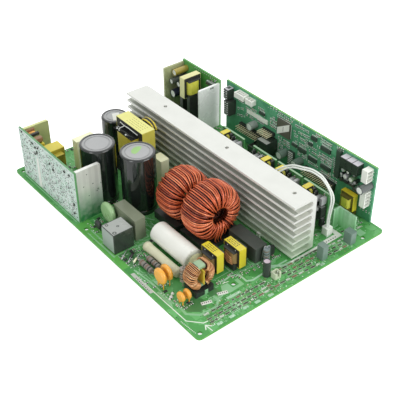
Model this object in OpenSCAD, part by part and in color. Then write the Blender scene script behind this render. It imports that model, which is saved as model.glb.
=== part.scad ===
// Power board of an uninterruptible power supply. The main circuit board carries a
// finned heatsink, two wound toroid chokes, capacitors, taped transformers and three
// upright boards. Sizes are in millimetres. The origin lies under the middle of the
// main board, at the tips of its solder joints. Places on the board are measured from
// its front left corner, and heights from its top face.

/* [Main board] */
// Width of the main board, left to right
board_w = 168; // [165:1:200]
// Length of the main board, front to back
board_l = 232; // [231:1:260]
// Thickness of the laminate of every circuit board
board_t = 1.6; // [1:0.1:2.4]
// Radius of the main board's corners
board_corner_r = 3; // [1:0.5:6]
// Diameter of the mounting holes
mount_hole_d = 3.2; // [2.5:0.1:4.5]
// Distance of the mounting holes from the board's left and front edges
mount_inset = 4.3; // [3:0.1:6]
// Distance of the rear mounting hole from the board's rear edge
rear_mount_inset = 5.2; // [3:0.1:7]
// Height of the solder joints under the board
joint_h = 1.4; // [0.8:0.1:2.5]
// Diameter of a solder joint at the board
joint_d = 2.4; // [1.6:0.1:3.2]
// Diameter of a solder joint at its tip
joint_tip_d = 0.9; // [0.6:0.1:1.4]

/* [Heatsink] */
// Depth of the heatsink from the fin tips to the back of its web
heatsink_w = 20; // [16:0.5:24]
// Length of the heatsink
heatsink_l = 193; // [170:1:205]
// Height of the heatsink
heatsink_h = 43; // [36:0.5:50]
// Number of fins
fin_count = 8; // [5:1:10]
// Thickness of a fin
fin_t = 1.5; // [1:0.1:2]
// Thickness of the web that joins the fins
web_t = 3.3; // [2.5:0.1:5]
// Diameter of the holes in the top fin
fin_hole_d = 3; // [2:0.1:4]
// Height of the heatsink's feet
heatsink_foot_h = 1.5; // [1:0.1:4]
// Diameter of the heatsink's feet
heatsink_foot_d = 4; // [3:0.1:6]
// Width, depth and height of the grounding tab at the lowest fin
ground_tab = [3, 1.5, 4]; // [1:0.1:6]

/* [Power transistors] */
// Width of a power transistor
transistor_w = 15.9; // [12:0.1:18]
// Thickness of a power transistor
transistor_t = 5; // [4:0.1:6]
// Height of a power transistor's body
transistor_h = 21; // [16:0.1:24]
// Height of the body's lower edge above the board
transistor_lift = 14; // [8:0.5:18]
// Width and thickness of a transistor lead
lead_size = [1.2, 0.7]; // [0.4:0.1:2]
// Distance between transistor leads
lead_pitch = 5.45; // [4:0.05:5.5]
// Diameter of the screw heads
screw_head_d = 6; // [5:0.1:7]
// Height of the screw heads
screw_head_h = 2.2; // [1.5:0.1:3]
// Depth, width and height of the temperature sensor
sensor_size = [3, 6, 8]; // [2:0.1:10]

/* [Chokes] */
// Diameter of the choke wire
choke_wire_d = 1.55; // [1.2:0.05:1.6]
// Outer radius of the front choke over its winding
front_choke_r = 21.2; // [21:0.1:23]
// Number of turns of the front choke, a multiple of the layers
front_choke_turns = 75; // [48:3:75]
// Outer radius of the rear choke over its winding
rear_choke_r = 19.4; // [19.2:0.1:21]
// Number of turns of the rear choke, a multiple of the layers
rear_choke_turns = 69; // [48:3:69]
// Thickness of the chokes over their windings
choke_t = 24; // [22:0.5:26]
// Radius of the open hole through the windings
choke_hole_r = 6; // [6:0.1:7]
// Bend radius of the choke wire in the hole, at its centreline
choke_bend_r = 3; // [2.5:0.1:3.2]
// Bend radius of the outermost turns at the rim, at their centreline
choke_rim_r = 7.5; // [6.5:0.1:7.6]
// Height of the lowest turn above the board
choke_lift = 2.5; // [1.5:0.1:4]
// Width and height of the choke bases
choke_base = [34, 6]; // [4:0.5:38]
// Clearance between a winding and its saddle
saddle_gap = 0.05; // [0.02:0.01:0.3]
// How far a choke base stands out in front of and behind its winding
choke_base_margin = 1; // [0:0.1:1.5]
// Gap between the two chokes' bases
choke_gap = 3.2; // [2:0.1:6]

/* [Bulk capacitors] */
// Diameter of the two large capacitors
bulk_d = 26; // [22:0.1:28]
// Height of the two large capacitors
bulk_h = 48.5; // [35:0.5:55]
// Diameter of the third capacitor
third_d = 21.2; // [16:0.1:22]
// Height of the third capacitor
third_h = 36; // [25:0.5:45]
// Width of the sleeve's rim on the can top
sleeve_rim = 1.8; // [1:0.1:3]
// Depth of the can top below the sleeve's rim
can_recess = 0.6; // [0.2:0.1:1]
// Thickness of the can top
can_top_t = 1.2; // [0.8:0.1:2]
// Radius of the capacitors' upper edge
can_edge_r = 1.4; // [0.6:0.1:1.8]
// Height of the crimp groove above the capacitor's foot
crimp_h = 4; // [3:0.1:6]
// Radius of the crimp groove
crimp_r = 0.8; // [0.4:0.1:1.2]
// Gap between the rear choke's base and the first capacitor
bulk_gap = 4.3; // [1:0.1:6]

/* [Transformers] */
// Power transformer over its tape: length, height, core thickness, outer leg
power_tf = [34.5, 38, 11.4, 5]; // [3:0.1:50]
// Power transformer: how far the coil stands out, height of the foot
power_tf_coil = [6.5, 5]; // [2:0.1:10]
// Gate transformers over their tape: length, height, core thickness, outer leg
gate_tf = [16.2, 15.5, 5.8, 2.2]; // [2:0.1:20]
// Gate transformers: how far the coil stands out, height of the foot
gate_tf_coil = [3, 2]; // [1:0.1:5]
// Auxiliary transformer over its tape: length, height, core thickness, outer leg
aux_tf = [12.4, 26, 10.4, 2.6]; // [2:0.1:30]
// Auxiliary transformer: how far the coil stands out, height of the foot
aux_tf_coil = [4.5, 7]; // [2:0.1:9]
// Supply transformer over its tape: length, height, core thickness, outer leg
supply_tf = [17.5, 18.5, 6, 2.4]; // [2:0.1:22]
// Supply transformer: how far the coil stands out, height of the foot
supply_tf_coil = [3.6, 23]; // [2:0.1:25]
// Control transformer over its tape: length, height, core thickness, outer leg
control_tf = [12.2, 13.7, 4.2, 1.8]; // [2:0.1:20]
// Control transformer: how far the coil stands out, height of the foot
control_tf_coil = [3.1, 6.3]; // [1:0.1:6]
// Driver transformers over their tape: length, height, core thickness, outer leg
driver_tf = [10.5, 7.4, 4.4, 1.5]; // [1:0.1:12]
// Driver transformers: how far the coil stands out, height of the foot
driver_tf_coil = [2, 1]; // [1:0.1:4]
// Thickness of the tape round each core
tape_t = 0.3; // [0.1:0.05:0.5]
// Wall of the transformer bobbins
bobbin_t = 0.6; // [0.4:0.1:1]
// Gap between a coil and the core's outer legs
coil_gap = 0.2; // [0.1:0.05:0.4]

/* [Upright boards] */
// Length and height of the auxiliary board
aux_board_size = [79.4, 42.6]; // [20:0.1:100]
// Distance of the auxiliary board from the main board's left edge
aux_inset = 4.2; // [2:0.1:6]
// Front plate on the auxiliary board: width, thickness, height
front_plate = [19.7, 2.8, 43]; // [1:0.1:50]
// Rear plate on the auxiliary board: width, thickness, height
rear_plate = [21.9, 2.5, 41]; // [1:0.1:50]
// Diameter of the hole in the auxiliary board's front plate
plate_hole_d = 2.8; // [2:0.1:4]
// Radius of the plates' free upper corner
plate_corner_r = 1; // [0.5:0.1:4]
// Length and height of the supply board
supply_board_size = [49.4, 42.7]; // [20:0.1:60]
// Front plate on the supply board: width, thickness, height
supply_front_plate = [21, 2, 40]; // [1:0.1:50]
// End plate on the supply board: width, thickness, height
supply_end_plate = [21, 2, 41]; // [1:0.1:50]
// Length and height of the control board
control_board_size = [160.4, 47.4]; // [40:0.1:170]
// Length and height of a driver board
driver_board_size = [25, 31]; // [15:0.1:35]

/* [Small parts] */
// Width, depth and height of the rear cream box capacitor
cream_box_a = [17, 6.9, 26]; // [4:0.1:30]
// Width, depth and height of the middle cream box capacitor
cream_box_b = [7.6, 11.2, 24]; // [4:0.1:30]
// Width, depth and height of the grey film capacitor
grey_film = [9, 26, 17.4]; // [5:0.1:30]
// Width, depth and height of the front grey box capacitor
grey_box_a = [5.2, 6.2, 11.4]; // [4:0.1:15]
// Width, depth and height of the corner grey box capacitor
grey_box_b = [5.6, 7.2, 9.8]; // [4:0.1:15]
// Width, depth and height of the light relay
light_relay_size = [16.4, 15, 16.5]; // [8:0.1:22]
// Width, depth and height of the slim relay
slim_relay_size = [10.5, 28.2, 12.2]; // [8:0.1:32]
// Radius of the upright edges of boxed parts
box_edge_r = 0.6; // [0.2:0.1:1.2]
// Varistor: diameter, thickness, height of the disc's lower edge
varistor_size = [16, 4, 2.5]; // [1:0.1:20]
// Thermistor: diameter, thickness, height of the disc's lower edge
thermistor_size = [7, 3, 1]; // [1:0.1:10]
// Large disc capacitors: diameter, thickness, height of the disc's lower edge
large_disc_size = [12, 3.4, 3.6]; // [1:0.1:16]
// Small disc capacitors: diameter, thickness, height of the disc's lower edge
small_disc_size = [7.6, 2.8, 2.4]; // [1:0.1:12]
// Axial film capacitor: diameter, length
axial_size = [15.5, 38.6]; // [8:0.1:45]
// Rod resistor: diameter, length
rod_size = [6.6, 33]; // [4:0.1:40]
// Lying resistors: diameter, length
lying_size = [4.2, 12.5]; // [2:0.1:15]
// Upright resistors: diameter, length
upright_size = [4, 11]; // [2:0.1:15]
// Diameter of the parts' wire leads
wire_lead_d = 0.8; // [0.5:0.1:1]
// Small transistor: diameter, height
small_transistor_size = [5, 6]; // [3:0.1:8]
// Two-pin header: width, depth, height
pin_header_size = [5.4, 4.8, 4.8]; // [3:0.1:10]
// Wall of the open headers
header_wall = 0.8; // [0.4:0.1:1.5]
// Floor of the open headers
header_floor = 1.4; // [0.5:0.1:3]
// Width, depth and height of the wire connector
connector_size = [5.6, 5.6, 6.2]; // [4:0.1:14]
// Diameter of the sensor wires
sensor_wire_d = 1.3; // [1:0.1:2]
// Bent plate: width, depth, height, thickness
bent_plate_size = [7, 16.5, 16, 1.2]; // [1:0.1:25]
// Common-mode choke: outer radius, thickness, turns on each side
cm_size = [10.4, 11, 14]; // [8:0.5:16]
// Wire diameter of the common-mode choke
cm_wire_d = 1; // [0.6:0.05:1]
// Height of the common-mode choke's lowest turn above the board
cm_lift = 3; // [2:0.1:5]
// Common-mode choke base: width, depth, height
cm_base_size = [15, 13, 4.5]; // [3:0.1:20]

/* [Hidden] */
round_fn = 48;
wire_fn = 16;

// Heights
board_top = joint_h + board_t;

// Places of the mounting holes
right_mount_inset = 17.5;
mount_holes = [
    [mount_inset, board_l - rear_mount_inset],
    [mount_inset, 134.6],
    [mount_inset, mount_inset],
    [49.1, 25.2],
    [board_w - right_mount_inset, mount_inset]
];

// Heatsink, its transistors and the sensor, as places along its length
heatsink_at = [94.5, 18];
fin_holes_y = [12.8, 82.8, 156.7];
fin_hole_x = 11.5;
foot_ends = 12;
slot_h = (heatsink_h - fin_count * fin_t) / (fin_count - 1);
heatsink_back = heatsink_at[0] + heatsink_w;
transistor_y = [30, 53, 95, 118, 141, 164, 187];
screw_share = 0.7;
sensor_y = 74;
sensor_lift = 22;
ground_tab_y = 50.5;

// Chokes, from the front one to the rear one
choke_layers = 3;
layer_step = choke_wire_d + 0.05;
rim_step = 1.25;
front_choke_at = [68.6, 73.2];
rear_choke_at = [67.2, front_choke_at[1] + choke_t + 2 * choke_base_margin + choke_gap];
choke_core_gap = 0.04;

// Bulk capacitors, the first one behind the rear choke
bulk_a_at = [50.4, rear_choke_at[1] + choke_t / 2 + choke_base_margin + bulk_gap + bulk_d / 2];
bulk_b_at = [bulk_a_at[0] - 16.3, bulk_a_at[1] + 27.1];
third_at = [75.5, 200.6];
bulk_caps = [[bulk_a_at, bulk_d, bulk_h], [bulk_b_at, bulk_d, bulk_h], [third_at, third_d, third_h]];

// Transformers
power_tf_at = [75.7, 172.2];
gate_tf_at = [[47.8, 45.3], [62.7, 39.9]];
aux_tf_at = [17.8, 196.3];
supply_tf_inset = 11.4;
supply_tf_y = 206.5;
control_tf_y = 29.7;
driver_tf_y = [16, 16.6, 5.2, 16.2];
driver_tf_lift = 27;
control_face = board_w - board_t;

// Upright boards
aux_face = aux_inset + board_t;
aux_y = 143.8;
front_plate_y = 143.6;
rear_plate_y = 219.5;
plate_hole_at = [16.2, 21.6];
supply_y = 182;
control_y = 12.6;
control_reach = 14;
driver_share = 0.285;
transistor_front = heatsink_back + transistor_t + screw_head_h;
driver_reach = driver_tf_coil[1] + driver_tf[1];
driver_room = control_face - control_reach - transistor_front - driver_reach - board_t;
driver_x = transistor_front + driver_reach + driver_share * driver_room;

// Capacitors that lie on the upright boards: board face, place along it, height,
// diameter, length
lying_caps = [
    [control_face, 226.2, 36, 5.8, 13.5], [control_face, 225.6, 17, 7, 16],
    [control_face, 226.6, 28.6, 5, 16.5], [control_face, 221.4, 26.6, 5, 13],
    [control_face, 137, 23, 6.6, 7], [control_face, 101, 15, 6.5, 8],
    [control_face, 84.5, 15.6, 6.5, 8], [control_face, 16.6, 31.4, 6.2, 11.4]
];
front_cap = [[71.5, 17.7], 5.5, 12.5];

// Headers on the control board: place along it, height, then depth, length and height;
// some open upwards, others towards the front edge
upward_headers = [[151.3, 43.4, [6.1, 10.9, 4.4]], [141, 42.4, [5, 7.5, 4.4]]];
forward_headers = [[17.8, 40.4, [6.5, 4.9, 10.2]], [17.2, 20.6, [6, 4.6, 13]]];
white_strip = [134.7, 31, [0.8, 24.3, 3.6]];
control_blocks = [[166.4, 39.3, [6.7, 5.6, 9]], [164.2, 27.6, [7.5, 6.5, 13]]];
control_relay_list = [
    [27, 41, [6.6, 5.4, 8.8]], [32.6, 41, [6.6, 5.4, 8.8]], [38.2, 41, [6.6, 5.4, 8.8]],
    [116.4, 14.6, [11.8, 11.2, 13.6]], [128, 4.8, [10.5, 11.4, 9]]
];
control_chip_list = [
    [103.9, 35.2, [1.8, 13.6, 13]], [83.5, 25.8, [1.5, 8.4, 3]], [72.2, 23.5, [1.5, 9, 3]],
    [60, 38.4, [1.5, 9.6, 3.4]], [58.6, 23.3, [1.5, 10, 3.2]], [72.4, 41.8, [1.5, 5.6, 3.4]],
    [91.8, 26.4, [1.5, 5.6, 2.2]], [75.6, 35.5, [1.5, 4.4, 2.2]], [129.2, 36.5, [1.5, 6.3, 2.4]],
    [94, 13.6, [2, 6, 12.2]], [46.4, 33.6, [2.4, 4.2, 23.6]]
];
control_pins = [[141, 14.9, [2.5, 26, 5.2]], [63, 12.3, [2.5, 31, 5.2]], [120.5, 24.4, [2.2, 13, 3]]];

// Small parts
cream_a_at = [47.5, 203];
cream_b_at = [79.1, 145.4];
grey_film_at = [28.5, 114];
grey_a_at = [112.9, 7.1];
grey_b_at = [board_w - 28.2, 7];
light_relay_at = [12.4, 105.5];
slim_relay_at = [78.4, 44.9];
varistor_at = [20.3, 129.2];
thermistor_at = [10.8, 128.5];
axial_at = [37.8, 72.9];
axial_end_step = 0.6;
rod_at = [24.9, 71];
rod_end_step = 0.8;
upright_at = [[21.7, 44], [80, 27.6]];
upright_lift = [5, 1];
upright_loop = 3;
lying_at = [[13, 73], [19, 73]];
lying_end_step = 0.4;
large_disc_at = [[10, 52.5], [15.4, 53]];
small_disc_at = [[10.8, 31.7], [15.6, 31.4]];
cm_at = [28.4, 35.6];
cm_bend = 1.8;
cm_layers = 2;
cm_step = cm_wire_d + 0.05;
cm_hole_r = 3.7;
cm_pitch = 7.5;
cm_depth = (cm_layers - 1) * cm_step + cm_wire_d + choke_core_gap;
cm_divider_t = 1;
cm_divider_gap = 0.12;
small_transistor_at = [87.1, 30.4];
header_at = [75.2, 12.3];
header_slot = 2;

// The wire connector and the bent plate share the room before the control transformer
front_reach = control_tf[2] + 2 * control_tf_coil[0];
front_room = control_face - front_reach - transistor_front - connector_size[0] - bent_plate_size[0];
connector_share = 0.44;
bent_plate_share = 0.21;
connector_left = transistor_front + connector_share * front_room;
connector_at = [connector_left + connector_size[0] / 2, 23.3];
bent_plate_left = connector_left + connector_size[0] + bent_plate_share * front_room;
bent_plate_at = [bent_plate_left + bent_plate_size[0] / 2, 18.2];

// The driver boards stand in a row behind the bent plate, the last one further back
driver_gap = 2;
driver_clearance = 0.4;
driver_first_y = bent_plate_at[1] + bent_plate_size[1] / 2 + driver_clearance;
driver_pitch = driver_board_size[0] + driver_gap;
driver_last_shift = 8.5;
driver_last_y = driver_first_y + 3 * driver_pitch + driver_last_shift;
driver_y = [driver_first_y, driver_first_y + driver_pitch, driver_first_y + 2 * driver_pitch, driver_last_y];

// Routes of the sensor wires: the rise from the connector's top, the fall to the sensor's foot
wire_start = [connector_at[0], connector_at[1], connector_size[2]];
wire_end = [heatsink_back + sensor_size[0], sensor_y, sensor_lift];
first_rise = [
    [-0.9, 0, 0], [0, 0.6, 7.5], [0.8, 0.5, 15.1], [1.5, 0.5, 21.3], [1.7, 1.8, 26.4], [1.5, 5, 30.8],
    [0.5, 10.5, 35.6], [-0.7, 19, 37]
];
first_fall = [
    [14.5, -23.4, 19.4], [12.9, -16.8, 18], [11.1, -12.2, 15.6], [8.5, -9, 12.6], [5, -4.5, 8], [0, -1, 3]
];
second_rise = [
    [0.9, 0, 0], [1.8, 0.5, 7.2], [2.7, 0.1, 15.4], [3.4, 0, 21.5], [3.5, 1.6, 26], [3.1, 4.7, 30],
    [2.1, 10.4, 35.9], [0.8, 19.2, 37.8]
];
second_fall = [
    [16, -22.8, 20.2], [14.4, -16, 18.8], [12.5, -11, 16.4], [9.5, -7.2, 13.4], [5.4, -2.4, 9.2],
    [0, 1.5, 5.5]
];
wire_sides = 8;
wire_steps = 3;

// Helpers

module on_board(p, lift = 0) {
    translate([p[0] - board_w / 2, p[1] - board_l / 2, board_top + lift]) children();
}

module rounded_rect(w, l, r) {
    square([w, l - 2 * r], center = true);
    square([w - 2 * r, l], center = true);
    for (sx = [-1, 1], sy = [-1, 1])
        translate([sx * (w / 2 - r), sy * (l / 2 - r)]) circle(r, $fn = round_fn);
}

module block(size) {
    linear_extrude(size[2]) rounded_rect(size[0], size[1], box_edge_r);
}

// A plain box that stands out to the left from an upright board's face
module face_box(face, y, z, size) {
    translate([face - board_w / 2 - size[0], y - board_l / 2 - size[1] / 2, board_top + z - size[2] / 2])
        cube(size);
}

// A sheet that stands across the board, with its free upper corner rounded
module standing_plate(size, side) {
    w = size[0];
    h = size[2];
    r = plate_corner_r;
    mirror([side < 0 ? 1 : 0, 0, 0]) translate([0, size[1], 0]) rotate([90, 0, 0]) linear_extrude(size[1]) {
        square([w, h - r]);
        square([w - r, h]);
        translate([w - r, h - r]) circle(r, $fn = round_fn);
    }
}

// One closed turn of wire round a toroid whose axis is Z
module turn(r_in, r_out, half_t, bend, rim, d) {
    translate([r_in, 0, bend - half_t]) cylinder(h = 2 * (half_t - bend), d = d, $fn = wire_fn);
    translate([r_out, 0, rim - half_t]) cylinder(h = 2 * (half_t - rim), d = d, $fn = wire_fn);
    for (side = [-1, 1])
        translate([r_in + bend, 0, side * half_t]) rotate([0, 90, 0])
            cylinder(h = r_out - rim - r_in - bend, d = d, $fn = wire_fn);
    for (q = [0 : 3]) {
        r = q == 0 || q == 3 ? rim : bend;
        cx = q == 0 || q == 3 ? r_out - rim : r_in + bend;
        cz = q < 2 ? half_t - r : r - half_t;
        translate([cx, 0, cz]) rotate([90, 0, 0]) rotate([0, 0, q * 90])
            rotate_extrude(angle = 90, $fn = round_fn) translate([r, 0]) circle(d / 2, $fn = wire_fn);
    }
}

// Turns in layers: each next turn lies one layer deeper inside the hole and on the faces
module toroid_winding(radius, turns) {
    for (i = [0 : turns - 1]) {
        layer = i % choke_layers;
        rotate([0, 0, i * 360 / turns])
            turn(choke_hole_r + choke_wire_d / 2 + layer * layer_step, radius - choke_wire_d / 2,
                 choke_t / 2 - choke_wire_d / 2 - layer * layer_step,
                 choke_bend_r, choke_rim_r - layer * rim_step, choke_wire_d);
    }
}

module toroid_core(radius) {
    depth = (choke_layers - 1) * layer_step + choke_wire_d + choke_core_gap;
    ring_core(choke_hole_r + depth, radius - choke_wire_d - choke_core_gap, choke_t - 2 * depth,
              choke_bend_r - choke_wire_d / 2, choke_rim_r - (choke_layers - 1) * rim_step - choke_wire_d / 2);
}

// Ring with rounded inner and outer edges that the wire bends round
module ring_core(r_in, r_out, t, inner_edge, outer_edge) {
    rotate_extrude($fn = round_fn) {
        translate([r_in + inner_edge, -t / 2]) square([r_out - outer_edge - r_in - inner_edge, t]);
        translate([r_in, inner_edge - t / 2]) square([inner_edge, t - 2 * inner_edge]);
        translate([r_out - outer_edge, outer_edge - t / 2]) square([outer_edge, t - 2 * outer_edge]);
        for (side = [-1, 1]) {
            translate([r_in + inner_edge, side * (t / 2 - inner_edge)]) circle(inner_edge, $fn = round_fn);
            intersection() {
                translate([r_out - outer_edge, side * (t / 2 - outer_edge)]) circle(outer_edge, $fn = round_fn);
                translate([r_out - outer_edge, -t]) square([outer_edge, 2 * t]);
            }
        }
    }
}

// Places a toroid upright on the board with its axis front to back
module upright_toroid(at, radius, lift) {
    on_board(at, lift + radius) rotate([90, 0, 0]) children();
}

// Saddle that carries a toroid
module saddle(size, radius, lift) {
    difference() {
        block(size);
        translate([0, size[1] / 2 + 1, lift + radius]) rotate([90, 0, 0])
            cylinder(h = size[1] + 2, r = radius + saddle_gap, $fn = round_fn * 2);
    }
}

// Transformer pieces stand on z = 0, with the core loop across X.
// s holds length, height, thickness and outer leg; c holds coil bulge and foot.
function core_l(s) = s[0] - 2 * tape_t;
function core_h(s) = s[1] - 2 * tape_t;
function window_l(s) = core_l(s) / 2 - 2 * s[3];
function window_h(s) = core_h(s) - 2 * s[3];
function window_z(s, c) = c[1] + tape_t + s[3];

module tf_core(s, c) {
    translate([0, 0, c[1] + tape_t]) difference() {
        translate([-s[2] / 2, -core_l(s) / 2, 0]) cube([s[2], core_l(s), core_h(s)]);
        for (sy = [-1, 1])
            translate([-s[2] / 2 - 1, sy * (s[3] + window_l(s) / 2) - window_l(s) / 2, s[3]])
                cube([s[2] + 2, window_l(s), window_h(s)]);
    }
}

module tf_tape(s, c) {
    translate([0, 0, c[1]]) difference() {
        translate([-s[2] / 2, -s[0] / 2, 0]) cube([s[2], s[0], s[1]]);
        translate([-s[2] / 2 - 1, -core_l(s) / 2, tape_t]) cube([s[2] + 2, core_l(s), core_h(s)]);
    }
}

module tf_bobbin(s, c) {
    flange_w = s[2] + 2 * c[0];
    flange_l = core_l(s) - 2 * s[3];
    translate([0, 0, window_z(s, c)]) difference() {
        union() {
            for (z = [0, window_h(s) - bobbin_t])
                translate([-flange_w / 2, -flange_l / 2, z]) cube([flange_w, flange_l, bobbin_t]);
            translate([-s[2] / 2 - bobbin_t, -s[3] - bobbin_t, 0])
                cube([s[2] + 2 * bobbin_t, 2 * s[3] + 2 * bobbin_t, window_h(s)]);
        }
        translate([-s[2] / 2, -s[3], -1]) cube([s[2], 2 * s[3], window_h(s) + 2]);
    }
    for (x = [-flange_w / 2, s[2] / 2])
        translate([x, -flange_l / 2, 0]) cube([c[0], flange_l, window_z(s, c) + bobbin_t]);
}

module tf_coil(s, c) {
    translate([0, 0, window_z(s, c) + bobbin_t]) linear_extrude(window_h(s) - 2 * bobbin_t) difference() {
        rounded_rect(s[2] + 2 * c[0] - 2 * coil_gap, core_l(s) - 2 * s[3] - 2 * coil_gap, window_l(s) - coil_gap);
        square([s[2] + 2 * bobbin_t, 2 * s[3] + 2 * bobbin_t], center = true);
    }
}

// The small transformers share one build; piece names which of its pieces is drawn
module tf_piece(piece, s, c) {
    if (piece == "core") tf_core(s, c);
    if (piece == "tape") tf_tape(s, c);
    if (piece == "coil") tf_coil(s, c);
    if (piece == "bobbin") tf_bobbin(s, c);
}

module small_transformers(piece) {
    for (p = gate_tf_at) on_board(p) tf_piece(piece, gate_tf, gate_tf_coil);
    on_board(aux_tf_at) rotate([0, 0, 90]) tf_piece(piece, aux_tf, aux_tf_coil);
    on_board([control_face - supply_tf_inset, supply_tf_y]) rotate([0, 0, 90])
        tf_piece(piece, supply_tf, supply_tf_coil);
    on_board([control_face - control_tf[2] / 2 - control_tf_coil[0], control_tf_y])
        tf_piece(piece, control_tf, control_tf_coil);
    for (i = [0 : len(driver_y) - 1])
        on_board([driver_x, driver_y[i] + driver_tf_y[i]], driver_tf_lift)
            rotate([0, -90, 0]) rotate([0, 0, 90]) tf_piece(piece, driver_tf, driver_tf_coil);
}

// Capacitor can, standing on z = 0
module can_sleeve(d, h) {
    difference() {
        rotate_extrude($fn = round_fn) difference() {
            union() {
                square([d / 2 - can_edge_r, h]);
                square([d / 2, h - can_edge_r]);
                translate([d / 2 - can_edge_r, h - can_edge_r]) circle(can_edge_r, $fn = round_fn);
            }
            translate([d / 2 + crimp_r / 2, crimp_h]) circle(crimp_r, $fn = round_fn);
        }
        translate([0, 0, h - can_recess - can_top_t])
            cylinder(h = can_recess + can_top_t + 1, d = d - 2 * sleeve_rim, $fn = round_fn);
    }
}

module can_top(d, h) {
    ring_w = sleeve_rim / 2;
    translate([0, 0, h - can_recess - can_top_t]) difference() {
        cylinder(h = can_top_t, d = d - 2 * sleeve_rim, $fn = round_fn);
        translate([0, 0, can_top_t - ring_w / 2]) difference() {
            cylinder(h = ring_w, d = d - 4 * sleeve_rim, $fn = round_fn);
            translate([0, 0, -1]) cylinder(h = ring_w + 2, d = d - 4 * sleeve_rim - 2 * ring_w, $fn = round_fn);
        }
    }
}

// Small cans have no crimp groove
module plain_sleeve(d, h) {
    difference() {
        cylinder(h = h, d = d, $fn = round_fn);
        translate([0, 0, h - can_recess]) cylinder(h = can_recess + 1, d = d - 1, $fn = round_fn);
    }
}

module plain_top(d, h) {
    translate([0, 0, h - can_recess]) cylinder(h = can_recess / 2, d = d - 1, $fn = round_fn);
}

module on_face(c) {
    translate([c[0] - board_w / 2, c[1] - board_l / 2, board_top + c[2]]) rotate([0, -90, 0]) children();
}

// Disc with a round rim that faces left, on two straight leads
module leaded_disc(size) {
    d = size[0];
    t = size[1];
    lift = size[2];
    leads = d / 4;
    translate([0, 0, lift + d / 2]) rotate([0, 90, 0]) rotate_extrude($fn = round_fn) {
        translate([0, -t / 2]) square([d / 2 - t / 2, t]);
        intersection() {
            translate([d / 2 - t / 2, 0]) circle(t / 2, $fn = round_fn);
            translate([0, -t]) square([d, 2 * t]);
        }
    }
    for (s = [-1, 1]) translate([0, s * leads, 0]) cylinder(h = lift + d / 4, d = wire_lead_d, $fn = wire_fn);
}

// Round body along Y that lies on the board, with a bent lead at each end
module lying_body(size, end_step) {
    d = size[0];
    l = size[1];
    reach = 2;
    translate([0, l / 2, d / 2]) rotate([90, 0, 0]) {
        cylinder(h = l, d = d - end_step, $fn = round_fn);
        translate([0, 0, end_step]) cylinder(h = l - 2 * end_step, d = d, $fn = round_fn);
    }
    for (s = [-1, 1]) {
        translate([0, s * (l / 2 + reach), 0]) cylinder(h = d / 2, d = wire_lead_d, $fn = wire_fn);
        translate([0, s * (l / 2 + reach), d / 2]) sphere(d = wire_lead_d, $fn = wire_fn);
        translate([0, s * l / 2, d / 2]) rotate([-s * 90, 0, 0]) cylinder(h = reach, d = wire_lead_d, $fn = wire_fn);
    }
}

// Upright resistor whose upper lead bends over and runs down to the board
module upright_resistor(size, lift) {
    top = lift + size[1];
    cylinder(h = lift, d = wire_lead_d, $fn = wire_fn);
    translate([0, 0, lift]) cylinder(h = size[1], d = size[0], $fn = round_fn);
    translate([upright_loop / 2, 0, top]) rotate([90, 0, 0]) rotate_extrude(angle = 180, $fn = round_fn)
        translate([upright_loop / 2, 0]) circle(d = wire_lead_d, $fn = wire_fn);
    translate([upright_loop, 0, 0]) cylinder(h = top, d = wire_lead_d, $fn = wire_fn);
}

// Tube swept along a smooth route
function spline(a, b, c, d, t) = 0.5 * (2 * b + (c - a) * t + (2 * a - 5 * b + 4 * c - d) * t * t
    + (3 * b - a - 3 * c + d) * t * t * t);
function route(rise, fall) = concat([for (p = rise) wire_start + p], [for (p = fall) wire_end + p]);
function unit(v) = v / norm(v);
function smooth(p) = let (n = len(p) - 1) concat(
    [for (i = [0 : n - 1], k = [0 : wire_steps - 1])
        spline(p[max(i - 1, 0)], p[i], p[i + 1], p[min(i + 2, n)], k / wire_steps)], [p[n]]);
function along(p, i) = let (n = len(p) - 1)
    i == 0 ? [0, 0, 1] : i == n ? [-1, 0, 0] : unit(p[i + 1] - p[i - 1]);
function ring(c, t, d) = let (side = [0, 1, 0], u = unit(side - (side * t) * t), v = cross(t, u))
    [for (k = [0 : wire_sides - 1]) c + d / 2 * (cos(k * 360 / wire_sides) * u + sin(k * 360 / wire_sides) * v)];

module tube(points_on, d) {
    p = smooth(points_on);
    n = len(p);
    s = wire_sides;
    points = [for (i = [0 : n - 1]) each ring(p[i], along(p, i), d)];
    sides = [for (i = [0 : n - 2], k = [0 : s - 1])
        [i * s + k, (i + 1) * s + k, (i + 1) * s + (k + 1) % s, i * s + (k + 1) % s]];
    polyhedron(points, concat([[for (k = [0 : s - 1]) k]], sides, [[for (k = [s - 1 : -1 : 0]) (n - 1) * s + k]]));
}

// Pieces

module main_pcb() {
    color("forestgreen") difference() {
        translate([0, 0, joint_h]) linear_extrude(board_t) rounded_rect(board_w, board_l, board_corner_r);
        for (p = mount_holes)
            on_board(p, -board_t - 1) cylinder(h = board_t + 2, d = mount_hole_d, $fn = round_fn);
    }
}

module joint(p) {
    on_board(p, -board_top) cylinder(h = joint_h, d1 = joint_tip_d, d2 = joint_d, $fn = round_fn);
}

module solder_joints() {
    color("silver") {
        for (c = bulk_caps, s = [-1, 1]) joint(c[0] + [s * 5, 0]);
        for (y = transistor_y) joint([heatsink_back + transistor_t / 2, y]);
        for (p = [front_choke_at, rear_choke_at], s = [-1, 1]) joint(p + [s * 12, 0]);
        for (y = [0.1, 0.5, 0.9]) joint([aux_inset + 2, aux_y + y * aux_board_size[0]]);
        for (y = [0.1, 0.9]) joint([board_w - 2.5, supply_y + y * supply_board_size[0]]);
        for (y = [0.05, 0.3, 0.55, 0.8]) joint([board_w - 2.5, control_y + y * control_board_size[0]]);
        for (p = concat(lying_at, large_disc_at, small_disc_at)) joint(p);
        for (p = [light_relay_at, slim_relay_at, connector_at, grey_b_at, header_at]) joint(p);
    }
}

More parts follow.
